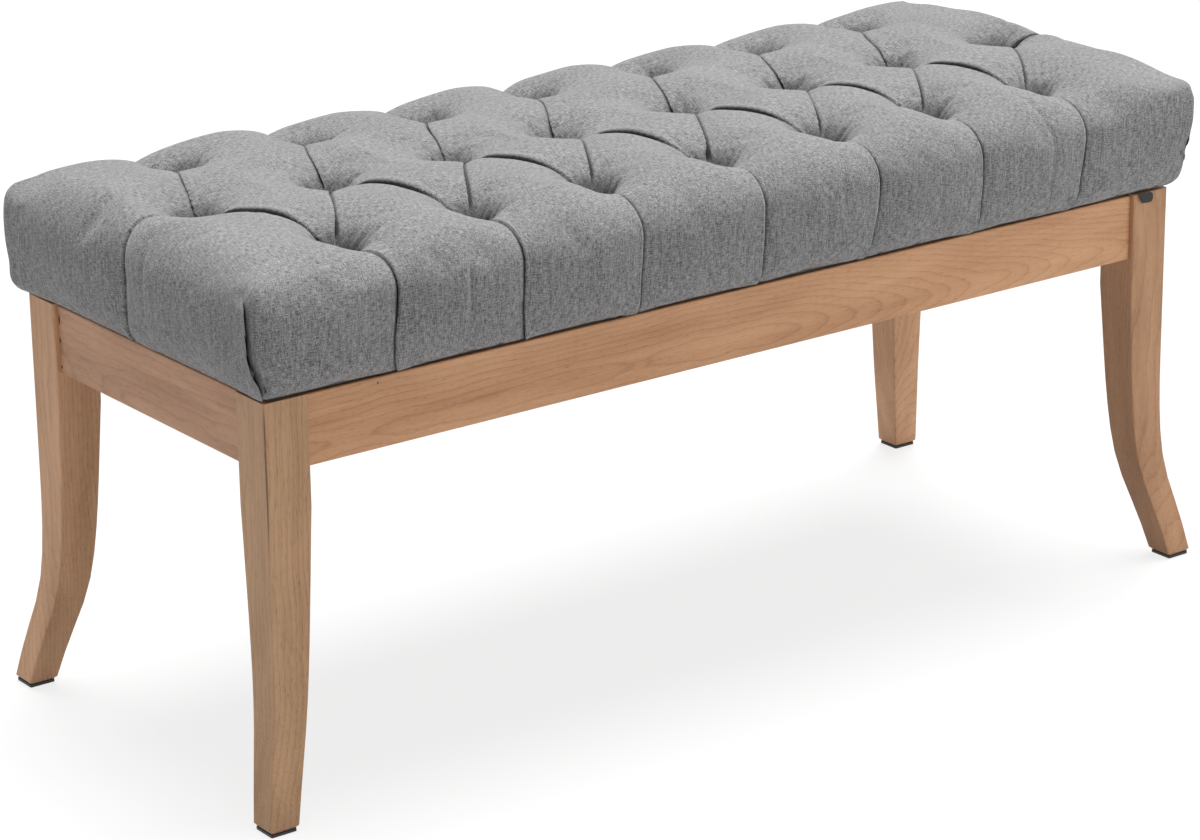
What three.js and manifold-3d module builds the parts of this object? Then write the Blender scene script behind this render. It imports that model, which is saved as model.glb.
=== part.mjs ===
// Upholstered bench: a deep tufted seat on a hardwood frame with four sabre legs.
// Millimetres, +Z up, +X along the bench. The origin is on the floor under the middle.
import * as THREE from 'three';
import { mergeVertices } from 'three/addons/utils/BufferGeometryUtils.js';
import Module from 'manifold-3d';

const wasm = await Module();
wasm.setup();

// Frame, measured over the leg tops
const frameLength = 1000;
const frameDepth = 382;
const frameHeight = 366;
const fit = 0.3;
const overrun = 5;
const edgeRadius = 1.5;

// Legs: square, tapered, and kicked outwards along the diagonal at the foot
const legWidth = 43;
const footWidth = 27.5;
const taperHeight = 270;
const footKick = 24.5;
const kickHeight = 204;
const kickHandleOutShare = 0.33;
const kickHandleLowShare = 0.455;
const kickHandleHighShare = 0.327;
const legEdge = 2;
const footChamfer = 2.5;
const legFlat = 14;
const legFlatBelowBlock = 6;
const legRings = 16;

// Aprons, set back from the leg faces
const apronHeight = 62;
const apronThickness = 20;
const apronRecess = 4.5;
const apronDrop = 1.5;

// Corner blocks, which tie two aprons and take the leg's bolt
const blockDepth = 28;
const blockHeight = 50;
const blockDrop = 2;
const screwOffset = 14;
const screwCounterbore = 22;

// Fasteners
const boltRadius = 4;
const boltInLeg = 32;
const boltChamfer = 1;
const boltBeyondNut = 4;
const washerRadius = 10;
const washerThickness = 1.6;
const nutAcrossFlats = 13;
const nutThickness = 6.5;
const seatScrewRadius = 2.2;
const seatScrewHeadRadius = 4.5;
const seatScrewHeadHeight = 3;
const seatScrewBite = 9;
const seatScrewTip = 3;

// Glides under the feet
const glideThickness = 2.5;
const glideInset = 1.5;
const glidePinRadius = 2;
const glidePinLength = 14;

// Centre rail under the seat board
const railHeight = 45;
const railThickness = 22;

// Seat build-up, from the frame upwards
const dustClothThickness = 0.8;
const dustClothInset = 10;
const hemThickness = 1.5;
const hemWidth = 25;
const boardThickness = 12;
const boardCorner = 15;
const foamThickness = 36;

// Tufts: two rows of seven with a row of eight between them, half a pitch apart
const tuftsInMiddleRow = 8;
const tuftsInSideRow = 7;
const tuftEndInset = 55.5;
const tuftSideInset = 62;
const tuftPitch = (frameLength - 2 * tuftEndInset) / (tuftsInMiddleRow - 1);
const tuftRowSpacing = frameDepth / 2 - tuftSideInset;
const tieRadius = 1.2;
const tieTabRadius = 5;
const tieTabThickness = 1.2;
const tieTabCover = 2;
const tieWasherRadius = 7;
const tieWasherThickness = 1.5;
const tieBoreRadius = 3;

// Cushion outline: its overhang past the legs, from the hem up to the shoulder
const cushionHeight = 120;
const shoulderHeight = 47;
const hemOverhang = 2.5;
const lowOverhang = 9;
const midOverhang = 14.5;
const wideOverhang = 18;
const hemRise = 8;
const midRiseShare = 0.4;
const cushionCorner = 14;
const hemCorner = 5;
const crown = 4;

// Shoulder of the cushion: wide and sloping along the bench, tight at the ends and the corners
const longShoulder = 78;
const endShoulder = 34;
const shoulderLineShares = [0.45, 0.82, 1];
const shoulderBlend = 30;
const cornerReachX = 110;
const cornerReachY = 80;
const cornerCore = 20;
const cornerDrop = 6;
const cornerPowerShare = 0.5;

// Cushion relief: funnels at the tufts, folds between them, pleats down the sides
const pitDepth = 44;
const pitSpread = 14;
const foldDepth = 9;
const foldSpread = 42;
const pleatDepth = 7;
const pleatSpread = 32;
const tuftSteps = 4;

// Tag in the seam over the front right leg
const tagWidth = 15;
const tagHeight = 10;
const tagThickness = 1.2;
const tagInsetX = 29;
const tagOverhang = 1.6;

// Facets of round and curved pieces
const boltSteps = 16;
const washerSteps = 20;
const nutBoreSteps = 8;
const screwSteps = 12;
const holeSteps = 10;
const foamBoreSteps = 8;
const tieSteps = 6;
const slabCornerSteps = 6;
const boardEdgeSteps = 3;
const legEdgeSteps = 2;
const kickSteps = 80;

// Heights and faces that several pieces share
const apronTop = frameHeight - apronDrop;
const apronBottom = apronTop - apronHeight;
const apronInner = apronRecess + apronThickness;
const legBottom = glideThickness + fit;
const blockTop = apronTop - blockDrop;
const blockBottom = blockTop - blockHeight;
const boltHeight = blockBottom + blockHeight / 2;
const flatDistance = legWidth * Math.SQRT2 - legFlat / 2;
const blockNear = flatDistance + fit;
const blockFar = blockNear + blockDepth;
const dustClothBottom = frameHeight + fit;
const coverBottom = dustClothBottom + dustClothThickness + fit;
const boardBottom = coverBottom + hemThickness + fit;
const boardTop = boardBottom + boardThickness;
const foamBottom = boardTop + fit;
const foamTop = foamBottom + foamThickness;
const coverCeiling = foamTop + fit;
const tuftFloor = coverBottom + cushionHeight - pitDepth - foldDepth - crown / 2;
const tieTabTop = tuftFloor - tieTabCover;

// Materials
const wood = () => new THREE.MeshStandardMaterial({ color: 0xbd8e68, roughness: 0.55, metalness: 0 });
const blockWood = () => new THREE.MeshStandardMaterial({ color: 0xc9a67e, roughness: 0.7, metalness: 0 });
const plywood = () => new THREE.MeshStandardMaterial({ color: 0xc8ab84, roughness: 0.75, metalness: 0 });
const linen = () => new THREE.MeshStandardMaterial({ color: 0x8c8b8c, roughness: 0.95, metalness: 0 });
const foam = () => new THREE.MeshStandardMaterial({ color: 0xe6dfc6, roughness: 1, metalness: 0 });
const dustCloth = () => new THREE.MeshStandardMaterial({ color: 0x17171a, roughness: 0.95, metalness: 0 });
const zincSteel = () => new THREE.MeshStandardMaterial({ color: 0xb4b7bb, roughness: 0.35, metalness: 1 });
const blackPlastic = () => new THREE.MeshStandardMaterial({ color: 0x141414, roughness: 0.6, metalness: 0 });
const twine = () => new THREE.MeshStandardMaterial({ color: 0xd9d4c6, roughness: 0.9, metalness: 0 });
const tagRibbon = () => new THREE.MeshStandardMaterial({ color: 0x111113, roughness: 0.7, metalness: 0 });

// Closed solid of a geometry, with its shared corners merged
function solid(geometry) {
  const bare = geometry.clone();
  bare.deleteAttribute('normal');
  bare.deleteAttribute('uv');
  const merged = mergeVertices(bare);
  return new wasm.Manifold(new wasm.Mesh({
    numProp: 3,
    vertProperties: new Float32Array(merged.attributes.position.array),
    triVerts: new Uint32Array(merged.index.array),
  }));
}

function geometryOf(manifold) {
  const cut = manifold.getMesh();
  const geometry = new THREE.BufferGeometry();
  geometry.setAttribute('position', new THREE.BufferAttribute(new Float32Array(cut.vertProperties), 3));
  geometry.setIndex(new THREE.BufferAttribute(new Uint32Array(cut.triVerts), 1));
  geometry.computeVertexNormals();
  return geometry;
}

// Splits each four-sided cell of a box grid along its shorter diagonal
function splitAcross(geometry) {
  const index = geometry.index;
  const corner = (i) => new THREE.Vector3().fromBufferAttribute(geometry.attributes.position, i);
  for (let i = 0; i < index.count; i += 6) {
    const [a, b, d, c] = [index.getX(i), index.getX(i + 1), index.getX(i + 2), index.getX(i + 4)];
    if (corner(a).distanceTo(corner(c)) < corner(b).distanceTo(corner(d))) {
      [a, b, c, a, c, d].forEach((value, offset) => index.setX(i + offset, value));
    }
  }
}

function cutFrom(geometry, cutters) {
  let body = solid(geometry);
  for (const cutter of cutters) {
    body = body.subtract(solid(cutter));
  }
  return geometryOf(body);
}

function piece(name, geometry, material) {
  const mesh = new THREE.Mesh(geometry, material);
  mesh.name = name;
  return mesh;
}

// Block between two corners
function blockBetween(low, high) {
  const geometry = new THREE.BoxGeometry(high[0] - low[0], high[1] - low[1], high[2] - low[2]);
  geometry.translate((low[0] + high[0]) / 2, (low[1] + high[1]) / 2, (low[2] + high[2]) / 2);
  return geometry;
}

// Turned piece about +Z from its radius and height pairs, from the bottom to the top
function turned(profile, sides) {
  const points = profile.map(([radius, height]) => new THREE.Vector2(radius, height));
  const geometry = new THREE.LatheGeometry(points, sides);
  geometry.rotateX(Math.PI / 2);
  return geometry;
}

function roundedRectangle(width, height, radius) {
  const shape = new THREE.Shape();
  const x = width / 2 - radius;
  const y = height / 2 - radius;
  shape.absarc(x, -y, radius, -Math.PI / 2, 0);
  shape.absarc(x, y, radius, 0, Math.PI / 2);
  shape.absarc(-x, y, radius, Math.PI / 2, Math.PI);
  shape.absarc(-x, -y, radius, Math.PI, Math.PI * 1.5);
  return shape;
}

// Flat rounded sheet or board from one height up to another
function slab(width, depth, radius, low, high) {
  const geometry = new THREE.ExtrudeGeometry(roundedRectangle(width, depth, radius), {
    depth: high - low, bevelEnabled: false, curveSegments: slabCornerSteps,
  });
  geometry.translate(0, 0, low);
  return geometry;
}

// Board that stands on edge and runs along X, with eased edges
function boardAlongX(length, thickness, height) {
  const geometry = new THREE.ExtrudeGeometry(roundedRectangle(thickness, height, edgeRadius), {
    depth: length, bevelEnabled: false, curveSegments: boardEdgeSteps,
  });
  geometry.translate(0, 0, -length / 2);
  geometry.rotateX(Math.PI / 2);
  geometry.rotateZ(Math.PI / 2);
  return geometry;
}

// Turns a piece made along +Z to run along the corner's diagonal at bolt height
function alongDiagonal(geometry, distance) {
  geometry.rotateX(-Math.PI / 2);
  geometry.rotateZ(-Math.PI / 4);
  const offset = distance / Math.SQRT2;
  geometry.translate(offset, offset, boltHeight);
  return geometry;
}

// Outward kick of the leg at a height, along each of X and Y
const kickCurve = new THREE.CubicBezierCurve(
  new THREE.Vector2(footKick, 0),
  new THREE.Vector2(footKick * kickHandleOutShare, kickHeight * kickHandleLowShare),
  new THREE.Vector2(0, kickHeight * kickHandleHighShare),
  new THREE.Vector2(0, kickHeight),
);
const kickPoints = kickCurve.getPoints(kickSteps);

function kickAt(height) {
  const above = kickPoints.findIndex((point) => point.y >= height);
  if (above === 0) return footKick;
  if (above < 0) return 0;
  const low = kickPoints[above - 1];
  const high = kickPoints[above];
  const share = (height - low.y) / (high.y - low.y);
  return low.x + share * (high.x - low.x);
}

function legWidthAt(height) {
  const share = Math.min(1, height / taperHeight);
  return footWidth + share * (legWidth - footWidth);
}

// Leg in its corner's frame: the outer corner is the origin and +X and +Y run inwards
function legGeometry() {
  const height = frameHeight - legBottom;
  const section = roundedRectangle(legWidth, legWidth, legEdge);
  const geometry = new THREE.ExtrudeGeometry(section, {
    depth: height, steps: legRings, bevelEnabled: false, curveSegments: legEdgeSteps,
  });
  const position = geometry.attributes.position;
  for (let i = 0; i < position.count; i += 1) {
    const ring = Math.round(position.getZ(i) / height * legRings);
    const rise = ring === 0 ? 0 : footChamfer + (ring - 1) / (legRings - 1) * (height - footChamfer);
    const level = legBottom + rise;
    const width = legWidthAt(level);
    const scale = (ring === 0 ? width - 2 * footChamfer : width) / legWidth;
    const middle = width / 2 - kickAt(level);
    position.setXYZ(i, middle + position.getX(i) * scale, middle + position.getY(i) * scale, level);
  }
  const flatHeight = frameHeight - blockBottom + legFlatBelowBlock + overrun;
  const flatCut = new THREE.BoxGeometry(legWidth, 2 * legWidth, flatHeight);
  flatCut.translate(flatDistance + legWidth / 2, 0, frameHeight + overrun - flatHeight / 2);
  flatCut.rotateZ(Math.PI / 4);
  const boltHole = alongDiagonal(turned([
    [0, -boltInLeg - fit],
    [boltRadius + fit, -boltInLeg - fit],
    [boltRadius + fit, overrun],
    [0, overrun],
  ], boltSteps), flatDistance);
  const pinHole = turned([
    [0, -overrun],
    [glidePinRadius + fit, -overrun],
    [glidePinRadius + fit, glidePinLength + fit],
    [0, glidePinLength + fit],
  ], holeSteps);
  const footMiddle = legWidthAt(legBottom) / 2 - kickAt(legBottom);
  pinHole.translate(footMiddle, footMiddle, glideThickness);
  return cutFrom(geometry, [flatCut, boltHole, pinHole]);
}

// Square plastic pad with the pin that holds it in the foot
function glideGeometry() {
  const width = legWidthAt(legBottom) - 2 * glideInset;
  const middle = legWidthAt(legBottom) / 2 - kickAt(legBottom);
  const pad = slab(width, width, edgeRadius, 0, glideThickness);
  const pin = turned([
    [0, glideThickness / 2],
    [glidePinRadius, glideThickness / 2],
    [glidePinRadius, glideThickness + glidePinLength - glidePinRadius],
    [0, glideThickness + glidePinLength],
  ], holeSteps);
  const geometry = geometryOf(solid(pad).add(solid(pin)));
  geometry.translate(middle, middle, 0);
  return geometry;
}

// Place of the seat screw in a corner's frame
function seatScrewPlace() {
  const along = (blockNear + blockFar) / 2 / Math.SQRT2;
  const aside = screwOffset / Math.SQRT2;
  return [along + aside, along - aside];
}

// Corner block: a trapezium between the aprons, bored for the bolt and the seat screw
function blockGeometry() {
  const wall = apronInner + fit;
  const near = blockNear * Math.SQRT2 - wall;
  const far = blockFar * Math.SQRT2 - wall;
  const outline = new THREE.Shape([
    new THREE.Vector2(near, wall),
    new THREE.Vector2(far, wall),
    new THREE.Vector2(wall, far),
    new THREE.Vector2(wall, near),
  ]);
  const geometry = new THREE.ExtrudeGeometry(outline, { depth: blockHeight, bevelEnabled: false });
  geometry.translate(0, 0, blockBottom);
  const boltHole = alongDiagonal(turned([
    [0, -overrun],
    [boltRadius + fit, -overrun],
    [boltRadius + fit, blockDepth + overrun],
    [0, blockDepth + overrun],
  ], boltSteps), blockNear);
  const screwHole = turned([
    [0, -overrun],
    [seatScrewHeadRadius + fit, -overrun],
    [seatScrewHeadRadius + fit, screwCounterbore],
    [seatScrewRadius + fit, screwCounterbore],
    [seatScrewRadius + fit, blockHeight + overrun],
    [0, blockHeight + overrun],
  ], boltSteps);
  screwHole.translate(...seatScrewPlace(), blockBottom);
  return cutFrom(geometry, [boltHole, screwHole]);
}

function hangerBoltGeometry() {
  const length = boltInLeg + fit + blockDepth + fit + washerThickness + fit + nutThickness + boltBeyondNut;
  return alongDiagonal(turned([
    [0, 0],
    [boltRadius - boltChamfer, 0],
    [boltRadius, boltChamfer],
    [boltRadius, length - boltChamfer],
    [boltRadius - boltChamfer, length],
    [0, length],
  ], boltSteps), flatDistance - boltInLeg);
}

function washerGeometry() {
  return alongDiagonal(turned([
    [boltRadius + fit, 0],
    [washerRadius, 0],
    [washerRadius, washerThickness],
    [boltRadius + fit, washerThickness],
    [boltRadius + fit, 0],
  ], washerSteps), blockFar + fit);
}

function nutGeometry() {
  const outline = new THREE.Shape();
  const cornerRadius = nutAcrossFlats / 2 / Math.cos(Math.PI / 6);
  for (let i = 0; i < 6; i += 1) {
    const angle = i * Math.PI / 3;
    const corner = [cornerRadius * Math.cos(angle), cornerRadius * Math.sin(angle)];
    if (i === 0) outline.moveTo(...corner);
    else outline.lineTo(...corner);
  }
  const bore = new THREE.Path();
  bore.absarc(0, 0, boltRadius + fit, 0, 2 * Math.PI);
  outline.holes.push(bore);
  const geometry = new THREE.ExtrudeGeometry(outline, {
    depth: nutThickness, bevelEnabled: false, curveSegments: nutBoreSteps,
  });
  return alongDiagonal(geometry, blockFar + fit + washerThickness + fit);
}

function seatScrewGeometry() {
  const seat = blockBottom + screwCounterbore - fit;
  const head = seat - seatScrewHeadHeight;
  const tip = boardBottom + seatScrewBite;
  const geometry = turned([
    [0, head],
    [seatScrewHeadRadius - edgeRadius, head],
    [seatScrewHeadRadius, head + edgeRadius],
    [seatScrewHeadRadius, seat],
    [seatScrewRadius, seat],
    [seatScrewRadius, tip - seatScrewTip],
    [0, tip],
  ], screwSteps);
  const [x, y] = seatScrewPlace();
  geometry.translate(x, y, 0);
  return geometry;
}

// Four corners, each turned a quarter further round the frame
const corners = [
  ['front_left', -1, -1, 0],
  ['front_right', 1, -1, 1],
  ['back_right', 1, 1, 2],
  ['back_left', -1, 1, 3],
];

function cornerGroup([name, sideX, sideY, quarters]) {
  const group = new THREE.Group();
  group.position.set(sideX * frameLength / 2, sideY * frameDepth / 2, 0);
  group.rotation.z = quarters * Math.PI / 2;
  group.add(piece(`leg_${name}`, legGeometry(), wood()));
  group.add(piece(`floor_glide_${name}`, glideGeometry(), blackPlastic()));
  group.add(piece(`corner_block_${name}`, blockGeometry(), blockWood()));
  group.add(piece(`hanger_bolt_${name}`, hangerBoltGeometry(), zincSteel()));
  group.add(piece(`washer_${name}`, washerGeometry(), zincSteel()));
  group.add(piece(`hex_nut_${name}`, nutGeometry(), zincSteel()));
  group.add(piece(`seat_screw_${name}`, seatScrewGeometry(), zincSteel()));
  return group;
}

// Place of each corner's seat screw on the whole bench
function seatScrewPlaces() {
  const [x, y] = seatScrewPlace();
  return corners.map(([, sideX, sideY, quarters]) => {
    const place = new THREE.Vector2(x, y).rotateAround(new THREE.Vector2(), quarters * Math.PI / 2);
    return [sideX * frameLength / 2 + place.x, sideY * frameDepth / 2 + place.y];
  });
}

// Aprons butt against the inner faces of the legs
function aprons() {
  const group = new THREE.Group();
  const middleHeight = (apronTop + apronBottom) / 2;
  const longLength = frameLength - 2 * legWidth - 2 * fit;
  const shortLength = frameDepth - 2 * legWidth - 2 * fit;
  for (const [name, side] of [['front', -1], ['back', 1]]) {
    const apron = piece(`apron_${name}`, boardAlongX(longLength, apronThickness, apronHeight), wood());
    apron.position.set(0, side * (frameDepth / 2 - apronRecess - apronThickness / 2), middleHeight);
    group.add(apron);
  }
  for (const [name, side] of [['left', -1], ['right', 1]]) {
    const apron = piece(`apron_${name}`, boardAlongX(shortLength, apronThickness, apronHeight), wood());
    apron.position.set(side * (frameLength / 2 - apronRecess - apronThickness / 2), 0, middleHeight);
    apron.rotation.z = Math.PI / 2;
    group.add(apron);
  }
  return group;
}

function centreRail() {
  const length = frameDepth - 2 * apronInner - 2 * fit;
  const rail = piece('centre_rail', boardAlongX(length, railThickness, railHeight), blockWood());
  rail.position.z = apronTop - railHeight / 2;
  rail.rotation.z = Math.PI / 2;
  return rail;
}

// Tuft places, with the row that each one is in
function tuftRow(count, y) {
  return Array.from({ length: count }, (_, i) => [(i - (count - 1) / 2) * tuftPitch, y]);
}
const frontTufts = tuftRow(tuftsInSideRow, -tuftRowSpacing);
const middleTufts = tuftRow(tuftsInMiddleRow, 0);
const backTufts = tuftRow(tuftsInSideRow, tuftRowSpacing);
const tufts = [...frontTufts, ...middleTufts, ...backTufts];

// Relief of the cushion: how far a point of the plan is drawn in from the plain crowned form
const halfLength = frameLength / 2 + wideOverhang;
const halfDepth = frameDepth / 2 + wideOverhang;

function distanceToLine([x, y], [[startX, startY], [endX, endY]]) {
  const runX = endX - startX;
  const runY = endY - startY;
  const along = ((x - startX) * runX + (y - startY) * runY) / (runX * runX + runY * runY);
  const share = Math.min(1, Math.max(0, along));
  return Math.hypot(x - startX - share * runX, y - startY - share * runY);
}

const folds = middleTufts.flatMap((middle) => [...frontTufts, ...backTufts]
  .filter((side) => Math.abs(Math.abs(side[0] - middle[0]) - tuftPitch / 2) < tuftPitch / 4)
  .map((side) => [middle, side]));
const pleats = [
  ...frontTufts.map((tuft) => [tuft, [tuft[0], -halfDepth]]),
  ...backTufts.map((tuft) => [tuft, [tuft[0], halfDepth]]),
  [middleTufts[0], [-halfLength, 0]],
  [middleTufts[tuftsInMiddleRow - 1], [halfLength, 0]],
];

function grooveDepth(point, lines, depth, spread) {
  const nearest = Math.min(...lines.map((line) => distanceToLine(point, line)));
  return depth * Math.max(0, 1 - nearest / spread) ** 2;
}

function reliefAt(point) {
  const nearestTuft = Math.min(...tufts.map((tuft) => Math.hypot(point[0] - tuft[0], point[1] - tuft[1])));
  const groove = Math.max(
    grooveDepth(point, folds, foldDepth, foldSpread),
    grooveDepth(point, pleats, pleatDepth, pleatSpread),
  );
  return groove + pitDepth * Math.exp(-nearestTuft / pitSpread);
}

// Grid lines over the top: on the tufts, between them, and over the shoulder
function gridLines(half, tuftSpan, step) {
  const count = Math.round(2 * tuftSpan / step);
  const inner = Array.from({ length: count + 1 }, (_, i) => -tuftSpan + i * step);
  const outer = shoulderLineShares.map((share) => tuftSpan + (half - tuftSpan) * share);
  return [...outer.map((value) => -value).reverse(), ...inner, ...outer];
}

// Overhang and plan corner of the side, drawn in to the hem
const shoulderBase = coverBottom + cushionHeight - shoulderHeight;
const sideLevels = [
  [coverBottom, hemOverhang],
  [coverBottom + hemRise, lowOverhang],
  [coverBottom + midRiseShare * (cushionHeight - shoulderHeight), midOverhang],
  [shoulderBase, wideOverhang],
];

// Point of a rounded plan outline's inside, with its edge distances and outward direction
function planPoint(x, y, halfX, halfY, corner) {
  const aboutX = Math.abs(x) - (halfX - corner);
  const aboutY = Math.abs(y) - (halfY - corner);
  const sideX = Math.sign(x);
  const sideY = Math.sign(y);
  if (aboutX > 0 && aboutY > 0) {
    const reach = Math.hypot(aboutX, aboutY);
    const pull = Math.max(aboutX, aboutY);
    const outX = sideX * aboutX / reach;
    const outY = sideY * aboutY / reach;
    return {
      x: sideX * (halfX - corner) + outX * pull,
      y: sideY * (halfY - corner) + outY * pull,
      inside: corner - pull,
      insideX: halfX - Math.abs(x),
      insideY: halfY - Math.abs(y),
      outX,
      outY,
    };
  }
  const insideX = halfX - Math.abs(x);
  const insideY = halfY - Math.abs(y);
  const inside = Math.min(insideX, insideY);
  const alongX = insideX < insideY;
  return { x, y, inside, insideX, insideY, outX: alongX ? sideX : 0, outY: alongX ? 0 : sideY };
}

// Share that a point belongs to a corner of the cushion, and to an end of it
function nearCorner({ insideX, insideY }) {
  const shareX = 1 - THREE.MathUtils.smoothstep(insideX, cornerCore, cornerReachX);
  const shareY = 1 - THREE.MathUtils.smoothstep(insideY, cornerCore, cornerReachY);
  return shareX * shareY;
}

function nearEnd({ insideX, insideY }) {
  return THREE.MathUtils.smoothstep(insideY - insideX, -shoulderBlend, shoulderBlend);
}

function topPoint(x, y) {
  const plan = planPoint(x, y, halfLength, halfDepth, cushionCorner);
  const cornerShare = nearCorner(plan);
  const tightShare = Math.max(cornerShare, nearEnd(plan));
  const width = longShoulder + (endShoulder - longShoulder) * tightShare;
  const power = 2 + cornerPowerShare * cornerShare;
  const turn = Math.max(0, 1 - plan.inside / width);
  const level = Math.max(0, 1 - turn ** power) ** (1 / power);
  const upShare = Math.sqrt(Math.max(0, 1 - turn * turn));
  const sag = crown * ((plan.x / halfLength) ** 4 + (plan.y / halfDepth) ** 2) / 2 + cornerDrop * cornerShare;
  const crest = coverBottom + cushionHeight - sag;
  const relief = reliefAt([plan.x, plan.y]);
  return [
    plan.x - plan.outX * turn * relief,
    plan.y - plan.outY * turn * relief,
    shoulderBase + (crest - shoulderBase) * level - upShare * relief,
  ];
}

function sidePoint(x, y, row) {
  const [level, overhang] = sideLevels[row];
  const fade = (level - coverBottom) / (shoulderBase - coverBottom);
  const halfX = frameLength / 2 + overhang;
  const halfY = frameDepth / 2 + overhang;
  const corner = hemCorner + (cushionCorner - hemCorner) * Math.min(1, fade / midRiseShare);
  const plan = planPoint(x * halfX / halfLength, y * halfY / halfDepth, halfX, halfY, corner);
  const shift = -fade * reliefAt([x, y]);
  return [plan.x + plan.outX * shift, plan.y + plan.outY * shift, level];
}

// Tufted cushion cover over the foam and the board, open underneath inside its hem
function coverGeometry() {
  const spanX = (tuftsInMiddleRow - 1) / 2 * tuftPitch;
  const linesX = gridLines(halfLength, spanX, tuftPitch / tuftSteps);
  const linesY = gridLines(halfDepth, tuftRowSpacing, tuftRowSpacing / tuftSteps);
  const rows = sideLevels.length - 1;
  const stepsX = linesX.length - 1;
  const stepsY = linesY.length - 1;
  const drawnIn = 1 - (wideOverhang - hemOverhang) / halfDepth;
  const geometry = new THREE.BoxGeometry(stepsX, stepsY, rows, stepsX, stepsY, rows);
  const position = geometry.attributes.position;
  for (let i = 0; i < position.count; i += 1) {
    const column = Math.round(position.getX(i) + stepsX / 2);
    const line = Math.round(position.getY(i) + stepsY / 2);
    const row = Math.round(position.getZ(i) + rows / 2);
    const x = linesX[column];
    const y = linesY[line];
    const onTop = row === rows;
    const onOutline = column === 0 || column === stepsX || line === 0 || line === stepsY;
    if (onTop) {
      position.setXYZ(i, ...topPoint(x, y));
    } else if (onOutline) {
      position.setXYZ(i, ...sidePoint(x, y, row));
    } else {
      position.setXYZ(i, x * drawnIn, y * drawnIn, coverBottom);
    }
  }
  splitAcross(geometry);
  const cavity = blockBetween(
    [-frameLength / 2 - fit, -frameDepth / 2 - fit, coverBottom + hemThickness],
    [frameLength / 2 + fit, frameDepth / 2 + fit, coverCeiling],
  );
  const mouth = blockBetween(
    [hemWidth - frameLength / 2, hemWidth - frameDepth / 2, coverBottom - overrun],
    [frameLength / 2 - hemWidth, frameDepth / 2 - hemWidth, coverBottom + overrun],
  );
  const tabSeats = tufts.map(([x, y]) => {
    const seat = turned([
      [0, coverCeiling - overrun],
      [tieTabRadius + fit, coverCeiling - overrun],
      [tieTabRadius + fit, tieTabTop + fit],
      [0, tieTabTop + fit],
    ], tieSteps);
    seat.translate(x, y, 0);
    return seat;
  });
  return cutFrom(geometry, [cavity, mouth, ...tabSeats]);
}

// Twine tie: a sewn tab behind the cloth, the twine, and a washer under the board
function tieGeometry() {
  const washerTop = boardBottom + fit + tieWasherThickness;
  return turned([
    [0, boardBottom + fit],
    [tieWasherRadius, boardBottom + fit],
    [tieWasherRadius, washerTop],
    [tieRadius, washerTop],
    [tieRadius, tieTabTop - tieTabThickness],
    [tieTabRadius, tieTabTop - tieTabThickness],
    [tieTabRadius, tieTabTop],
    [0, tieTabTop],
  ], tieSteps);
}

function ties() {
  const group = new THREE.Group();
  for (const [row, places] of [['front', frontTufts], ['middle', middleTufts], ['back', backTufts]]) {
    places.forEach(([x, y], i) => {
      const tie = piece(`tuft_tie_${row}_${i + 1}`, tieGeometry(), twine());
      tie.position.set(x, y, 0);
      group.add(tie);
    });
  }
  return group;
}

// Plywood seat board with a bore and a washer recess at each tie
function boardGeometry() {
  const board = slab(frameLength, frameDepth, boardCorner, boardBottom, boardTop);
  const tieBores = tufts.map(([x, y]) => {
    const bore = turned([
      [0, boardBottom - overrun],
      [tieWasherRadius + fit, boardBottom - overrun],
      [tieWasherRadius + fit, boardBottom + fit + tieWasherThickness + fit],
      [tieBoreRadius, boardBottom + fit + tieWasherThickness + fit],
      [tieBoreRadius, boardTop + overrun],
      [0, boardTop + overrun],
    ], holeSteps);
    bore.translate(x, y, 0);
    return bore;
  });
  const screwHoles = seatScrewPlaces().map(([x, y]) => {
    const hole = turned([
      [0, boardBottom - overrun],
      [seatScrewRadius + fit, boardBottom - overrun],
      [seatScrewRadius + fit, boardBottom + seatScrewBite + fit],
      [0, boardBottom + seatScrewBite + fit],
    ], holeSteps);
    hole.translate(x, y, 0);
    return hole;
  });
  return cutFrom(board, [...tieBores, ...screwHoles]);
}

// Foam block, bored for the ties
function foamGeometry() {
  const block = slab(frameLength, frameDepth, boardCorner, foamBottom, foamTop);
  const bores = tufts.map(([x, y]) => {
    const bore = turned([
      [0, foamBottom - overrun],
      [tieBoreRadius, foamBottom - overrun],
      [tieBoreRadius, foamTop + overrun],
      [0, foamTop + overrun],
    ], foamBoreSteps);
    bore.translate(x, y, 0);
    return bore;
  });
  return cutFrom(block, bores);
}

// Dust cloth under the board, with a hole at each seat screw
function dustClothGeometry() {
  const sheet = slab(frameLength - 2 * dustClothInset, frameDepth - 2 * dustClothInset, boardCorner,
    dustClothBottom, dustClothBottom + dustClothThickness);
  const holes = seatScrewPlaces().map(([x, y]) => {
    const hole = turned([
      [0, dustClothBottom - overrun],
      [seatScrewRadius + fit, dustClothBottom - overrun],
      [seatScrewRadius + fit, dustClothBottom + overrun],
      [0, dustClothBottom + overrun],
    ], holeSteps);
    hole.translate(x, y, 0);
    return hole;
  });
  return cutFrom(sheet, holes);
}

// Plain folded ribbon that hangs out of the seam
function tagGeometry() {
  const geometry = slab(tagWidth, tagThickness, tagThickness / 3, 0, tagHeight);
  geometry.translate(frameLength / 2 - tagInsetX, -frameDepth / 2 - tagOverhang, coverBottom - fit - tagHeight);
  return geometry;
}

const bench = new THREE.Group();
for (const corner of corners) {
  bench.add(cornerGroup(corner));
}
bench.add(aprons());
bench.add(centreRail());
bench.add(ties());
bench.add(piece('dust_cloth', dustClothGeometry(), dustCloth()));
bench.add(piece('seat_board', boardGeometry(), plywood()));
bench.add(piece('foam_core', foamGeometry(), foam()));
bench.add(piece('tufted_cover', coverGeometry(), linen()));
bench.add(piece('side_tag', tagGeometry(), tagRibbon()));

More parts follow.
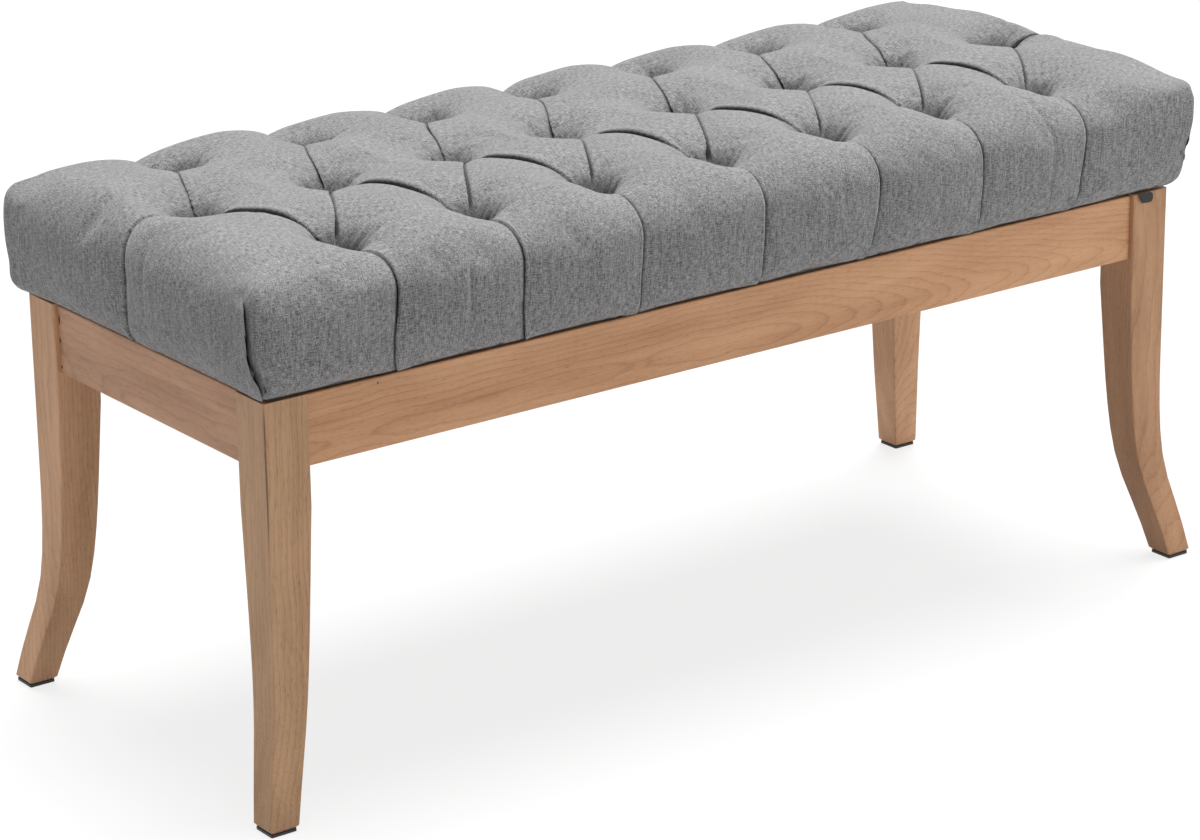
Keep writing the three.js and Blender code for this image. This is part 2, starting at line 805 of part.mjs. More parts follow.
export default bench;
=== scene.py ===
"""Upholstered bench: materials, tufted seat, ribbon tag and studio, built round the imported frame.

Metres, +Z up, +X along the bench. The origin is on the floor under the middle.
"""

import math

import bpy
import numpy as np
from mathutils import Matrix, Vector


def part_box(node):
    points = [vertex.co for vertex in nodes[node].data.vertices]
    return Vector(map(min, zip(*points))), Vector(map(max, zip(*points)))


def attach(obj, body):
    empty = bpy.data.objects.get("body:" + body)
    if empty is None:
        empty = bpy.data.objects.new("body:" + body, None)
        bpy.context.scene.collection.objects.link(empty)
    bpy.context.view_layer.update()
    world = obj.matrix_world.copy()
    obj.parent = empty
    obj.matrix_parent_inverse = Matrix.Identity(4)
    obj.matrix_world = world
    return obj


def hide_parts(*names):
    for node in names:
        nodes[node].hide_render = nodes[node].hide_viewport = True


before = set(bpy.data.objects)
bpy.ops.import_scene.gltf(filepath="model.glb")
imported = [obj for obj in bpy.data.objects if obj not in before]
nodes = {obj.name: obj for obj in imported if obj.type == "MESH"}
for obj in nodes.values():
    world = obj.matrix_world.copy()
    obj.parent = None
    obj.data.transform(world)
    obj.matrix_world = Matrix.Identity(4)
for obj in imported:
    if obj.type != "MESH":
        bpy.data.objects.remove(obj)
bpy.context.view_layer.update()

MM = 0.001
bpy.context.scene.view_settings.view_transform = "Standard"


# ---------------------------------------------------------------- camera
# Bearing, height and reach of the photograph's camera, found from the feet, legs and aprons

def place_camera():
    azimuth, elevation, roll = (math.radians(a) for a in (-36.528, 19.247, -0.706))
    target = Vector((-0.028815, -0.006688, 0.2))
    reach = 3.69019
    back = Vector((
        math.sin(azimuth) * math.cos(elevation),
        -math.cos(azimuth) * math.cos(elevation),
        math.sin(elevation),
    ))
    level = Vector((0, 0, 1)).cross(back).normalized()
    upright = back.cross(level)
    right = level * math.cos(roll) + upright * math.sin(roll)
    up = upright * math.cos(roll) - level * math.sin(roll)
    data = bpy.data.cameras.new("photo_camera")
    data.sensor_width = 36
    data.lens = 121.35
    camera = bpy.data.objects.new("photo_camera", data)
    bpy.context.scene.collection.objects.link(camera)
    turn = Matrix((right, up, back)).transposed().to_4x4()
    turn.translation = target + back * reach
    camera.matrix_world = turn
    bpy.context.scene.camera = camera


place_camera()


# ---------------------------------------------------------------- helpers for meshes

def deselect_all():
    if bpy.context.object and bpy.context.object.mode != "OBJECT":
        bpy.ops.object.mode_set(mode="OBJECT")
    bpy.ops.object.select_all(action="DESELECT")


def make_active(piece, alone=True):
    if alone:
        deselect_all()
    piece.select_set(True)
    bpy.context.view_layer.objects.active = piece


def points_of(piece):
    points = np.empty(len(piece.data.vertices) * 3)
    piece.data.vertices.foreach_get("co", points)
    return points.reshape(-1, 3)


def set_points(piece, points):
    piece.data.vertices.foreach_set("co", np.asarray(points, float).ravel())
    piece.data.update()


def smoothstep(value, low, high):
    """Eases from 0 at low to 1 at high, which may be the lesser of the two."""
    share = np.clip((value - low) / (high - low), 0, 1)
    return share * share * (3 - 2 * share)


# ---------------------------------------------------------------- tufted cover: sizes

PITCH, ROW = 127 * MM, 129 * MM
STEPS = 24
LATTICE_X, LATTICE_Y = PITCH / STEPS, ROW / STEPS
FRAME_X, FRAME_Y = 500 * MM, 191 * MM
HALF_X, HALF_Y = FRAME_X + 18 * MM, FRAME_Y + 18 * MM
CORE_X, CORE_Y = 87 * LATTICE_X, 28 * LATTICE_Y
SHOULDER_STEPS = 12
SEAT_TOP = 487 * MM
SHOULDER_Z = 440 * MM
CORNER = 14 * MM
# Side of the cover from the shoulder down and under to the hem: height and overhang past the legs
SIDE = [(440, 18.0), (434, 18.0), (428, 17.7), (420, 17.2), (412, 16.5), (404, 15.6), (396, 14.5),
        (389, 13.2), (383, 11.6), (378, 9.6), (374.2, 7.4), (371.4, 5.2), (369.6, 3.2), (368.3, 0.6),
        (367.7, -4.0), (367.6, -9.0)]

FRONT = np.array([((i - 3) * PITCH, -ROW) for i in range(7)])
MIDDLE = np.array([((i - 3.5) * PITCH, 0.0) for i in range(8)])
BACK = np.array([((i - 3) * PITCH, ROW) for i in range(7)])
TUFTS = np.concatenate([FRONT, MIDDLE, BACK])


def fold_lines():
    """Folds between neighbouring tufts: start, end and the side that the upper cloth lies on."""
    lines = []
    for i, tuft in enumerate(MIDDLE):
        if i < 7:
            lines.append((tuft, FRONT[i], "front arc"))
            lines.append((BACK[i], tuft, "back steep"))
        if i > 0:
            lines.append((tuft, FRONT[i - 1], "front steep"))
            lines.append((BACK[i - 1], tuft, "back arc"))
    return lines


def pleat_lines():
    lines = [(tuft, (tuft[0], -HALF_Y)) for tuft in FRONT]
    lines += [(tuft, (tuft[0], HALF_Y)) for tuft in BACK]
    lines += [(MIDDLE[0], (-HALF_X, 0.0)), (MIDDLE[-1], (HALF_X, 0.0))]
    return [(np.array(a, float), np.array(b, float)) for a, b in lines]


FOLDS = fold_lines()
PLEATS = pleat_lines()


def along_and_off(x, y, start, end):
    """Share along a line, and signed distance from it: positive to the left of its run."""
    run_x, run_y = end[0] - start[0], end[1] - start[1]
    length = math.hypot(run_x, run_y)
    along = ((x - start[0]) * run_x + (y - start[1]) * run_y) / length ** 2
    off = ((y - start[1]) * run_x - (x - start[0]) * run_y) / length
    return along, off


def distance_to(x, y, start, end):
    along, off = along_and_off(x, y, start, end)
    share = np.clip(along, 0, 1)
    return np.hypot(x - start[0] - share * (end[0] - start[0]), y - start[1] - share * (end[1] - start[1]))


def nearest_tuft(x, y):
    return np.min([np.hypot(x - a, y - b) for a, b in TUFTS], axis=0)


def funnel_reach(x, y):
    """Distance from the nearest tuft, as the funnels feel it: those of the outer rows run out to their pleats."""
    reaches = []
    for a, b in TUFTS:
        outwards = (y - b) * np.sign(b) > 0
        stretch = np.where(outwards, 0.65 if b < 0 else 0.8, 1.0) if b else 1.0
        reaches.append(np.hypot(x - a, (y - b) * stretch))
    return np.min(reaches, axis=0)


# How far each tuft sits off its mark, in mm, as hand tufting leaves it: front, middle and back rows
TUFT_SHIFTS = [(-2, 0), (4, -2), (5, -2), (3, -6), (5, -3), (1, 0), (0, 0),
               (6, 0), (7, 0), (8, 0), (-4, 0), (5, 0), (9, 0), (8, 0), (9, 0),
               (0, 0), (4, 0), (9, 0), (-2, 0), (9, 0), (8, 0), (9, 0)]


def tuft_shift(x, y):
    shift_x, shift_y = np.zeros_like(x), np.zeros_like(x)
    for (a, b), (across, towards) in zip(TUFTS, TUFT_SHIFTS):
        share = np.clip(1 - ((x - a) ** 2 + (y - b) ** 2) / (72 * MM) ** 2, 0, 1) ** 2
        shift_x, shift_y = shift_x + across * MM * share, shift_y + towards * MM * share
    return shift_x, shift_y


def fold_bow(x, y):
    """Sideways bow of the short front folds, all but the first."""
    bow = np.zeros_like(x)
    for start, end, kind in FOLDS:
        if kind == "front steep" and start[0] > MIDDLE[1][0] + MM:
            along, off = along_and_off(x, y, start, end)
            share = smoothstep(along, 0.0, 0.22) * (1 - smoothstep(along, 0.35, 0.95))
            bow = bow + 10 * MM * share * np.exp(-(off / (24 * MM)) ** 2)
    return bow


# How far each pleat leans along the edge, in mm: over the shoulder and at the hem
PLEAT_LEANS = [(8, -2), (7, 3), (0, -5), (5, 3), (8, 0), (2, 4), (0, -1),
               (-28, -16), (-16, -8), (-18, -6), (-2, -4), (-15, -3), (-19, -6), (-18, -6), (-1, 4), (-16, -20)]


def pleat_lean(x, y, down):
    """Sideways move that makes each pleat lean a little, as hand-laid pleats do."""
    lean_x, lean_y = np.zeros_like(x), np.zeros_like(x)
    for (start, end), (shoulder, hem) in zip(PLEATS, PLEAT_LEANS):
        along, off = along_and_off(x, y, start, end)
        length = np.hypot(*(end - start))
        lean = (shoulder + (hem - shoulder) * smoothstep(down, 0, 74 * MM)) * MM
        lean = lean * smoothstep(along * length, 12 * MM, 66 * MM) * np.exp(-(off / (40 * MM)) ** 2)
        if abs(end[0] - start[0]) < MM:
            lean_x = lean_x + lean
        else:
            lean_y = lean_y + lean
    return lean_x, lean_y


# ---------------------------------------------------------------- tufted cover: plain form

def round_outline(x, y, half_x, half_y, radius):
    """Pulls a plan's corners on to their radius. Gives the point, its edge distance and outward direction."""
    about_x, about_y = np.abs(x) - (half_x - radius), np.abs(y) - (half_y - radius)
    corner = (about_x > 0) & (about_y > 0)
    reach = np.maximum(np.hypot(about_x, about_y), 1e-12)
    pull = np.maximum(about_x, about_y)
    side_x, side_y = np.sign(x), np.sign(y)
    in_x, in_y = half_x - np.abs(x), half_y - np.abs(y)
    new_x = np.where(corner, side_x * (half_x - radius + about_x / reach * pull), x)
    new_y = np.where(corner, side_y * (half_y - radius + about_y / reach * pull), y)
    inside = np.where(corner, radius - pull, np.minimum(in_x, in_y))
    blend = smoothstep(in_x - in_y, -12 * MM, 12 * MM)
    out_x = np.where(corner, side_x * about_x / reach, side_x * (1 - blend))
    out_y = np.where(corner, side_y * about_y / reach, side_y * blend)
    size = np.maximum(np.hypot(out_x, out_y), 1e-9)
    return new_x, new_y, np.maximum(inside, 0), out_x / size, out_y / size


def rounded_plan(x, y):
    return round_outline(x, y, HALF_X, HALF_Y, CORNER)


def ring_at(plan, overhang, radius):
    """Outline of the cover's plan, set out to an overhang past the legs."""
    half_x, half_y = FRAME_X + overhang, FRAME_Y + overhang
    return round_outline(plan[:, 0] * half_x / HALF_X, plan[:, 1] * half_y / HALF_Y, half_x, half_y, radius)


def drawn_in(x, y):
    """How far the cloth is drawn in at a point of the plan: folds, pleats and the tufts' funnels."""
    depths = {"front arc": 3.5, "front steep": 3.5, "back steep": 4.0, "back arc": 1.0}
    fold_depth = np.max([depths[kind] * MM * np.clip(1 - distance_to(x, y, a, b) / (30 * MM), 0, 1) ** 1.7
                         for a, b, kind in FOLDS], axis=0)
    pleat = np.min([distance_to(x, y, a, b) for a, b in PLEATS], axis=0)
    pleat_depth = (4 + 7 * smoothstep(y, 100 * MM, 200 * MM)) * MM * np.clip(1 - pleat / (30 * MM), 0, 1) ** 1.8
    slope = 4 * MM * smoothstep(x, -440 * MM, -510 * MM) * smoothstep(y, 60 * MM, 190 * MM)
    return np.maximum(fold_depth, pleat_depth) + slope + 52 * MM * np.exp(-funnel_reach(x, y) / (18 * MM))


def top_form(x, y):
    plan_x, plan_y, inside, out_x, out_y = rounded_plan(x, y)
    in_x, in_y = HALF_X - np.abs(plan_x), HALF_Y - np.abs(plan_y)
    near_corner = smoothstep(in_x, 110 * MM, 20 * MM) * smoothstep(in_y, 80 * MM, 20 * MM)
    at_end = smoothstep(in_y - in_x, -30 * MM, 30 * MM)
    long_width = np.where(plan_y > 0, 82, 74 - 10 * smoothstep(plan_x, -300 * MM, -400 * MM))
    back_left = (plan_x < 0) & (plan_y > 0)
    front_right = (plan_x > 0) & (plan_y < 0)
    corner_width = np.where(back_left, 44, np.where(plan_x > 0, 26, 34))
    width = (long_width * (1 - at_end) + 33 * at_end) * (1 - near_corner) + corner_width * near_corner
    power = 2.0 + np.where(front_right, 3.5, np.where(plan_x > 0, 0.9, 0.5)) * near_corner
    turn = np.clip(1 - inside / (width * MM), 0, 1)
    level = (1 - turn ** power) ** (1 / power)
    sag = 4 * MM * ((plan_x / HALF_X) ** 4 * 0.5 + (plan_y / HALF_Y) ** 2 * 0.5)
    raised = (4 * MM * smoothstep(plan_x, 50 * MM, 420 * MM) * smoothstep(plan_y, -120 * MM, 60 * MM)
              - 7 * MM * smoothstep(plan_x, 390 * MM, 480 * MM) * smoothstep(plan_y, 60 * MM, 150 * MM)
              + 5 * MM * np.exp(-((plan_x + 0.320) / 0.09) ** 2) * smoothstep(plan_y, 40 * MM, 140 * MM)
              + 3 * MM * np.exp(-((plan_x - 0.010) / 0.12) ** 2) * smoothstep(plan_y, 40 * MM, 140 * MM)
              - 3 * MM * smoothstep(plan_x, -330 * MM, -400 * MM) * smoothstep(plan_y, -100 * MM, -150 * MM))
    crest = SEAT_TOP - sag + raised - np.where(back_left, 6.5, np.where(front_right, 14, 6)) * MM * near_corner
    height = SHOULDER_Z + (crest - SHOULDER_Z) * level
    up = np.sqrt(np.maximum(0, 1 - turn ** 2))
    depth = drawn_in(plan_x, plan_y)
    lean_x, lean_y = pleat_lean(x, y, np.zeros_like(x))
    shift_x, shift_y = tuft_shift(plan_x, plan_y)
    # Each tie pulls its pit's bottom a little forwards, under the near rim
    pull = 5 * MM * np.exp(-(nearest_tuft(plan_x, plan_y) / (11 * MM)) ** 2)
    shift_x, shift_y = shift_x - 0.6 * pull + fold_bow(plan_x, plan_y), shift_y - 0.8 * pull
    return np.stack([
        plan_x + lean_x + shift_x - out_x * turn * depth,
        plan_y + lean_y + shift_y - out_y * turn * depth,
        height - up * depth,
    ], -1)


def side_form(plan, row):
    height, overhang = SIDE[row]
    radius = (5 + (CORNER / MM - 5) * smoothstep(height, 368, 400)) * MM
    x, y, _, out_x, out_y = ring_at(plan, overhang * MM, radius)
    fade = smoothstep(height, 366, 404) * 0.8 + 0.2 * smoothstep(height, 400, 440)
    shift = -fade * drawn_in(plan[:, 0], plan[:, 1])
    # The back left corner hangs full right down to the hem
    full = np.exp(-(np.hypot(plan[:, 0] + HALF_X, plan[:, 1] - HALF_Y) / (60 * MM)) ** 2)
    shift = shift + 6.5 * MM * full * smoothstep(height, 367.5, 371.5) * (1 - smoothstep(height, 376, 408))
    # The front right corner is drawn in a little below its shoulder
    slim = smoothstep(plan[:, 0], 440 * MM, 515 * MM) * smoothstep(plan[:, 1], -120 * MM, -205 * MM)
    shift = shift - 2 * MM * slim * (1 - smoothstep(height, 402, 432))
    lean_x, lean_y = pleat_lean(plan[:, 0], plan[:, 1], (SHOULDER_Z - height * MM) * np.ones_like(x))
    return np.stack([x + lean_x + out_x * shift, y + lean_y + out_y * shift, np.full_like(x, height * MM)], -1)


def shoulder_places(core, half):
    angles = np.arange(1, SHOULDER_STEPS + 1) / SHOULDER_STEPS * math.pi / 2
    places = core + (half - core) * np.sin(angles)
    arcs = core + 82 * MM * np.arange(1, SHOULDER_STEPS + 1) / SHOULDER_STEPS
    return places, arcs


def top_rows():
    """Rows of the top from the front to the back: y, its cloth length, x places and their cloth lengths.

    Between the outer rows of tufts the rows are staggered, so that the mesh's edges lie along the folds."""
    end_x, end_arc = shoulder_places(CORE_X, HALF_X)
    end_y, end_arc_y = shoulder_places(CORE_Y, HALF_Y)
    even = np.arange(-87, 88) * LATTICE_X
    odd = np.concatenate([[-CORE_X], (np.arange(-87, 87) + 0.5) * LATTICE_X, [CORE_X]])
    rows = []
    lines = [(y, arc, False) for y, arc in zip(-end_y[::-1], -end_arc_y[::-1])]
    lines += [(j * LATTICE_Y, j * LATTICE_Y, abs(j) < STEPS and j % 2 == 1) for j in range(-28, 29)]
    lines += [(y, arc, False) for y, arc in zip(end_y, end_arc_y)]
    for y, arc, staggered in lines:
        middle = odd if staggered else even
        rows.append((
            y, arc,
            np.concatenate([-end_x[::-1], middle, end_x]),
            np.concatenate([-end_arc[::-1], middle, end_arc]),
        ))
    return rows


def zip_rows(low, high, low_start, high_start):
    """Faces between two rows of places, with a four-sided face where their places match."""
    faces, i, j = [], 0, 0
    while i < len(low) - 1 or j < len(high) - 1:
        more_low, more_high = i < len(low) - 1, j < len(high) - 1
        a, b = low_start + i, high_start + j
        if more_low and more_high and abs(low[i + 1] - high[j + 1]) < 1e-7:
            faces.append((a, a + 1, b + 1, b))
            i, j = i + 1, j + 1
        elif not more_high or (more_low and low[i + 1] < high[j + 1]):
            faces.append((a, a + 1, b))
            i += 1
        else:
            faces.append((a, b + 1, b))
            j += 1
    return faces


def cover_mesh():
    """Mesh of the cover before it is padded, with the cloth's own lengths as UV and the plan as an attribute."""
    rows = top_rows()
    starts = np.cumsum([0] + [len(row[2]) for row in rows])
    plan = np.concatenate([np.stack([row[2], np.full(len(row[2]), row[0])], -1) for row in rows])
    cloth = np.concatenate([np.stack([row[3], np.full(len(row[3]), row[1])], -1) for row in rows])
    points = top_form(plan[:, 0], plan[:, 1])
    faces, uvs = [], []
    for k in range(len(rows) - 1):
        new = zip_rows(rows[k][2], rows[k + 1][2], starts[k], starts[k + 1])
        faces += new
        uvs += [[tuple(cloth[v]) for v in face] for face in new]
    last = len(rows) - 1
    front = [starts[0] + i for i in range(len(rows[0][2]))]
    back = [starts[last] + i for i in range(len(rows[last][2]))]
    right = [starts[k + 1] - 1 for k in range(len(rows))]
    left = [starts[k] for k in range(len(rows))]
    ring = front[:-1] + right[:-1] + back[:0:-1] + left[:0:-1]
    edge_side = (["front"] * (len(front) - 1) + ["right"] * (len(right) - 1)
                 + ["back"] * (len(back) - 1) + ["left"] * (len(left) - 1))
    out = {"front": (0, -1), "right": (1, 0), "back": (0, 1), "left": (-1, 0)}
    count = len(ring)
    ring_plan, ring_cloth = plan[ring], cloth[ring]
    all_points, all_plan, down = [points], [plan], [np.zeros(len(plan))]
    previous, length = np.array(ring), 0.0
    for row in range(1, len(SIDE)):
        fall = math.hypot(SIDE[row][0] - SIDE[row - 1][0], SIDE[row][1] - SIDE[row - 1][1]) * MM
        current = np.arange(count) + sum(len(p) for p in all_points)
        all_points.append(side_form(ring_plan, row))
        all_plan.append(ring_plan)
        down.append(np.full(count, length + fall))
        for k in range(count):
            n = (k + 1) % count
            faces.append((previous[k], current[k], current[n], previous[n]))
            ox, oy = out[edge_side[k]]
            corners = ((k, length), (k, length + fall), (n, length + fall), (n, length))
            uvs.append([(ring_cloth[c][0] + ox * drop, ring_cloth[c][1] + oy * drop) for c, drop in corners])
        previous, length = current, length + fall
    points = np.concatenate(all_points)
    mesh = bpy.data.meshes.new("tufted_seat_cover")
    mesh.from_pydata(points.tolist(), [], [tuple(int(v) for v in face) for face in faces])
    layer = mesh.uv_layers.new(name="cloth")
    layer.data.foreach_set("uv", np.array([c for face in uvs for c in face]).ravel())
    plan_layer = mesh.attributes.new("plan", "FLOAT_VECTOR", "POINT")
    plan_layer.data.foreach_set("vector", np.column_stack([np.concatenate(all_plan), np.concatenate(down)]).ravel())
    mesh.update()
    piece = bpy.data.objects.new("tufted_seat_cover", mesh)
    bpy.context.scene.collection.objects.link(piece)
    return piece


def plan_of(piece):
    plan = np.empty(len(piece.data.vertices) * 3, np.float32)
    piece.data.attributes["plan"].data.foreach_get("vector", plan)
    return plan.reshape(-1, 3).astype(float)


# ---------------------------------------------------------------- tufted cover: padding

def held_share(plan):
    """Share that each point is held by a tuft, a fold, a pleat, a corner dart or the hem."""
    x, y, down = plan.T
    fold = np.min([distance_to(x, y, a, b) for a, b, kind in FOLDS if kind != "back arc"], axis=0)
    pleat = np.min([distance_to(x, y, a, b) for a, b in PLEATS], axis=0)
    tuft = nearest_tuft(x, y)
    held = np.zeros(len(plan))
    held[(fold < 0.3 * MM) | (pleat < 0.3 * MM)] = 1
    held = np.maximum(held, 1 - smoothstep(tuft, 9 * MM, 22 * MM))
    corner = (np.abs(np.abs(x) - HALF_X) < 0.1 * MM) & (np.abs(np.abs(y) - HALF_Y) < 0.1 * MM)
    held[corner] = 1
    held[down > 78 * MM] = 1
    return held


def pad_out(piece, pressure, growth, most):
    """Swells the cover between what holds it, as its filling does, and keeps no point further than most away."""
    start = points_of(piece)
    held = held_share(plan_of(piece))
    group = piece.vertex_groups.new(name="held")
    for v in np.nonzero(held > 0)[0]:
        group.add([int(v)], float(held[v]), "REPLACE")
    make_active(piece)
    cloth = piece.modifiers.new("padding", "CLOTH")
    cloth.settings.quality = 6
    cloth.settings.mass = 0.3
    cloth.settings.tension_stiffness = 20
    cloth.settings.compression_stiffness = 12
    cloth.settings.shear_stiffness = 6
    cloth.settings.bending_stiffness = 0.6
    cloth.settings.vertex_group_mass = "held"
    cloth.settings.pin_stiffness = 1
    cloth.settings.use_pressure = True
    cloth.settings.uniform_pressure_force = pressure
    cloth.settings.shrink_min = -growth
    cloth.settings.effector_weights.gravity = 0
    cloth.collision_settings.use_collision = False
    cloth.point_cache.frame_start = 1
    cloth.point_cache.frame_end = 20
    for step in range(1, 21):
        bpy.context.scene.frame_set(step)
    bpy.ops.object.modifier_apply(modifier="padding")
    bpy.context.scene.frame_set(1)
    piece.vertex_groups.clear()
    moved = points_of(piece) - start
    size = np.linalg.norm(moved, axis=1)
    tuft = nearest_tuft(*plan_of(piece)[:, :2].T)
    allowed = most * np.tanh(size / most) * smoothstep(tuft, 8 * MM, 36 * MM)
    set_points(piece, start + moved * (allowed / np.maximum(size, 1e-9))[:, None])


def crease_edges(piece):
    """Keeps the folds, pleats and darts sharp when the mesh is subdivided."""
    held = held_share(plan_of(piece)) > 0.99
    tuft = nearest_tuft(*plan_of(piece)[:, :2].T) < 10 * MM
    down = plan_of(piece)[:, 2] > 70 * MM
    sharp = held & ~tuft & ~down
    ends = np.empty(len(piece.data.edges) * 2, int)
    piece.data.edges.foreach_get("vertices", ends)
    ends = ends.reshape(-1, 2)
    crease = piece.data.attributes.new("crease_edge", "FLOAT", "EDGE")
    crease.data.foreach_set("value", (sharp[ends[:, 0]] & sharp[ends[:, 1]]).astype(np.float32))


def subdivide(piece, levels):
    make_active(piece)
    modifier = piece.modifiers.new("finer", "SUBSURF")
    modifier.levels = levels
    modifier.render_levels = levels
    bpy.ops.object.modifier_apply(modifier="finer")


cover = cover_mesh()
pad_out(cover, pressure=2.0, growth=0.006, most=7 * MM)
crease_edges(cover)
subdivide(cover, 2)
for polygon in cover.data.polygons:
    polygon.use_smooth = True


# ---------------------------------------------------------------- tufted cover: folds, darts and wrinkles

def frame_of_points(piece):
    """Points, outward normals and plan coordinates of the cover."""
    normals = np.empty(len(piece.data.vertices) * 3)
    piece.data.vertices.foreach_get("normal", normals)
    return points_of(piece), normals.reshape(-1, 3), plan_of(piece)


def lap(off, height, slip, groove):
    """Cloth that laps over a line from its positive side: move along the normal and across, and the share of painted
    shade on the line and under the lap.
    """
    outer = np.abs(off)
    on_line = outer < 0.25 * MM
    beyond = np.maximum(outer - 1.4 * MM, 0)
    lip = height * np.exp(-beyond / (8 * MM))
    under = -0.35 * groove * np.exp(-outer / (2.4 * MM)) - 0.3 * height * np.exp(-outer / (9 * MM))
    rise = np.where(on_line, -groove, np.where(off > 0, lip, under))
    across = np.where(on_line, 0.5 * slip, np.where(off > 0, -slip * np.exp(-beyond / (4.5 * MM)),
                                                    0.35 * slip * np.exp(-outer / (4 * MM))))
    # Painted shade: full on the line, fading out under the lap
    painted_shade = np.where(on_line, 1, np.where(off > 0, 0, np.exp(-(outer / (3.2 * MM)) ** 2)))
    return rise, across, painted_shade


def lay_folds(piece):
    """Laps the cloth along the folds and pleats, so that each shows a thin dark opening under its upper edge, and
    paints shade beside each line, round each tuft's pit and on the turned-under front hem.
    """
    points, normals, plan = frame_of_points(piece)
    x, y, down = plan.T
    tuft = nearest_tuft(x, y)
    strength = {"front arc": 1.0, "front steep": 1.0, "back steep": 0.95, "back arc": 0.0}
    lines = [(a, b, strength[kind], -1 if kind == "front steep" else 1) for a, b, kind in FOLDS]
    arcs = [kind == "front arc" for _, _, kind in FOLDS]
    pleat_sides = [1, 1, -1, -1, -1, -1, -1] + [1, -1, 1, 1, -1, 1, -1] + [-1, 1]
    pleat_strength = [1.1, 1.1, 1.0, 1.0, 1.0, 1.0, 1.0] + [0.9] * 9
    lines += [(a, b, share, side) for (a, b), share, side in zip(PLEATS, pleat_strength, pleat_sides)]
    chance = np.random.default_rng(4)
    moved = np.zeros_like(points)
    painted_shade = np.zeros(len(x))
    nearest = np.full(len(x), np.inf)
    for number, (start, end, strong, side) in enumerate(lines):
        is_pleat = number >= len(FOLDS)
        strong = strong * chance.uniform(0.85, 1.1)
        along, off = along_and_off(x, y, start, end)
        off = off * side
        distance = distance_to(x, y, start, end)
        window = smoothstep(tuft, 8 * MM, 30 * MM) * strong
        if is_pleat:
            window = window * (1 - smoothstep(down, 66 * MM, 84 * MM))
        elif arcs[number]:
            window = smoothstep(tuft, 6 * MM, 20 * MM) * strong * (1 - 0.6 * smoothstep(along, 0.6, 0.85))
        near = (distance < nearest) & (distance < 30 * MM)
        nearest = np.where(near, distance, nearest)
        across = np.array([start[1] - end[1], end[0] - start[0], 0.0]) * side
        across /= np.linalg.norm(across)
        flat = across[None, :] - normals * (normals @ across)[:, None]
        height, slip = (1.9, 2.8) if side > 0 else (1.3, 1.0)
        rise, shift, tuck = lap(off, height * MM, slip * MM, 6.5 * MM)
        if not is_pleat and arcs[number]:
            # The long front folds gape in their middle, and the cloth behind them gets painted shade so that it stays
            # in the dark
            gape = smoothstep(along, 0.05, 0.3) * (1 - smoothstep(along, 0.55, 0.9))
            tuck = np.maximum(tuck, gape * np.exp(-(off / (3.6 * MM)) ** 2))
            rise = rise + 1.2 * MM * gape * np.exp(-((off - 4 * MM) / (5 * MM)) ** 2)
        step = (normals * rise[:, None] + flat * shift[:, None]) * window[:, None]
        moved = np.where(near[:, None], step, moved)
        # Painted shade beside the nearest fold or pleat
        painted_shade = np.where(near, tuck * np.clip(window, 0, 1), painted_shade)
    set_points(piece, points + moved)
    # Painted shade in and round each tuft's pit
    painted_shade = np.maximum(painted_shade, np.exp(-(tuft / (18 * MM)) ** 2))
    # The front hem turns under into the dark above the apron: painted shade on its lowest rows
    painted_shade = np.maximum(painted_shade, (y < 1 * MM - HALF_Y) * smoothstep(down, 71 * MM, 76 * MM))
    layer = piece.data.attributes.new("painted_shade", "FLOAT", "POINT")
    layer.data.foreach_set("value", painted_shade.astype(np.float32))


# Corner darts: side in x and y, which cloth laps over (1: the end's), place along the outline, overlap,
# reach of the hollow and of the painted shade beside the line, and the height that the painted shade ends at; mm
CORNERS = ((-1, -1, 1, 15, 4.0, 10, 4.5, 366), (1, -1, -1, -3.5, 1.0, 3, 8, 400),
           (1, 1, 1, -9, 1.2, 10, 4.5, 366), (-1, 1, -1, -16, 1.2, 10, 4.5, 366))


def corner_places(x, y, side_x, side_y, slide):
    """Plan points near a corner, moved along the outline by slide: positive goes on to the bench's end."""
    in_x, in_y = HALF_X - x * side_x, HALF_Y - y * side_y
    edge = np.minimum(in_x, in_y)
    place = in_y - in_x + slide
    new_x = side_x * (HALF_X - edge - np.maximum(-place, 0))
    new_y = side_y * (HALF_Y - edge - np.maximum(place, 0))
    round_x, round_y, _, _, _ = rounded_plan(new_x, new_y)
    return np.stack([round_x, round_y, np.zeros_like(x)], -1)


